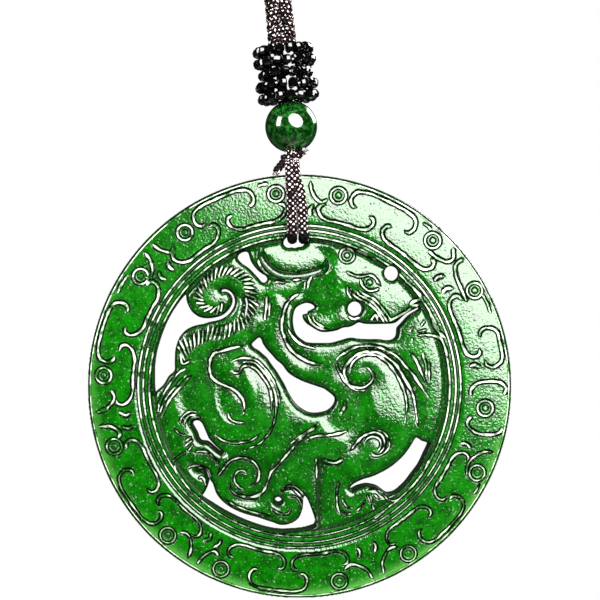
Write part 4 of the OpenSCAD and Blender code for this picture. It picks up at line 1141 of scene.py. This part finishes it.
# The floor, the lamps and the camera
# A pale floor well below the hanging pendant, a soft lamp high on the right beside the lens, and
# dim light all round. Floor and backdrop also give light to camera rays alone, so that they look
# evenly white as in the photo without lighting the pendant.
white = (1, 1, 1, 1)
floor_drop = 1.2
floor_half = 2
floor_z = cad_bounds[0][2] - floor_drop
floor_mesh = bpy.data.meshes.new("floor")
floor_mesh.from_pydata(
    [(x * floor_half, y * floor_half, floor_z) for x, y in ((-1, -1), (1, -1), (1, 1), (-1, 1))],
    [], [(0, 1, 2, 3)])
floor = placed("floor", floor_mesh)
pale_floor, tree, shader = start_material("pale floor", {
    "Base Color": (0.8, 0.8, 0.8, 1), "Roughness": 0.9, "Emission Color": white})
to_camera = add_node(tree, "LightPath", {}).outputs["Is Camera Ray"]
fill_in(tree, shader, {"Emission Strength": to_camera})
floor_mesh.materials.append(pale_floor)

world = bpy.data.worlds.new("studio")
world.use_nodes = True
bpy.context.scene.world = world
sky = world.node_tree
room = sky.nodes["Background"]
fill_in(sky, room, {"Color": white, "Strength": 0.025})
backdrop = add_node(sky, "Background", {"Color": white, "Strength": 1.0})
either = add_node(sky, "MixShader", {
    "Fac": add_node(sky, "LightPath", {}).outputs["Is Camera Ray"],
    1: room.outputs["Background"], 2: backdrop.outputs["Background"]})
fill_in(sky, sky.nodes["World Output"], {"Surface": either.outputs["Shader"]})


def lamp(name, shape, place, aim, size, power):
    """A soft lamp that faces its aim."""
    light = bpy.data.lights.new(name, "AREA")
    light.shape = shape
    light.size, light.size_y = size
    light.energy = power
    holder = placed(name, light)
    holder.location = place
    holder.rotation_euler = (Vector(aim) - Vector(place)).to_track_quat("-Z", "Y").to_euler()


aim = Vector(disc_middle)
key_at = aim + Vector((0.29, -0.5, 0.357))
lamp("key lamp", "ELLIPSE", key_at, key_at + Vector((0, 1, 0)), (0.8, 0.8), 16)
lamp("left lamp", "RECTANGLE", aim + Vector((-0.5, -0.31, 0.22)), aim, (0.22, 0.4), 2.6)
lamp("back lamp", "RECTANGLE", aim + Vector((0.45, 0.45, 0.35)), aim, (0.4, 0.4), 4)

camera_data = bpy.data.cameras.new("camera")
camera = placed("camera", camera_data)
bpy.context.scene.camera = camera
camera_away = 0.245
picture_w = 0.0846
camera_data.sensor_width = 36
camera_data.lens = 36 * (camera_away - half_thick * MM) / picture_w
camera.location = aim + Vector((0.00006, -camera_away, 0.0122))
camera.rotation_euler = (math.radians(90), 0, 0)
camera_data.clip_start = 0.01
bpy.context.scene.view_settings.view_transform = "Standard"
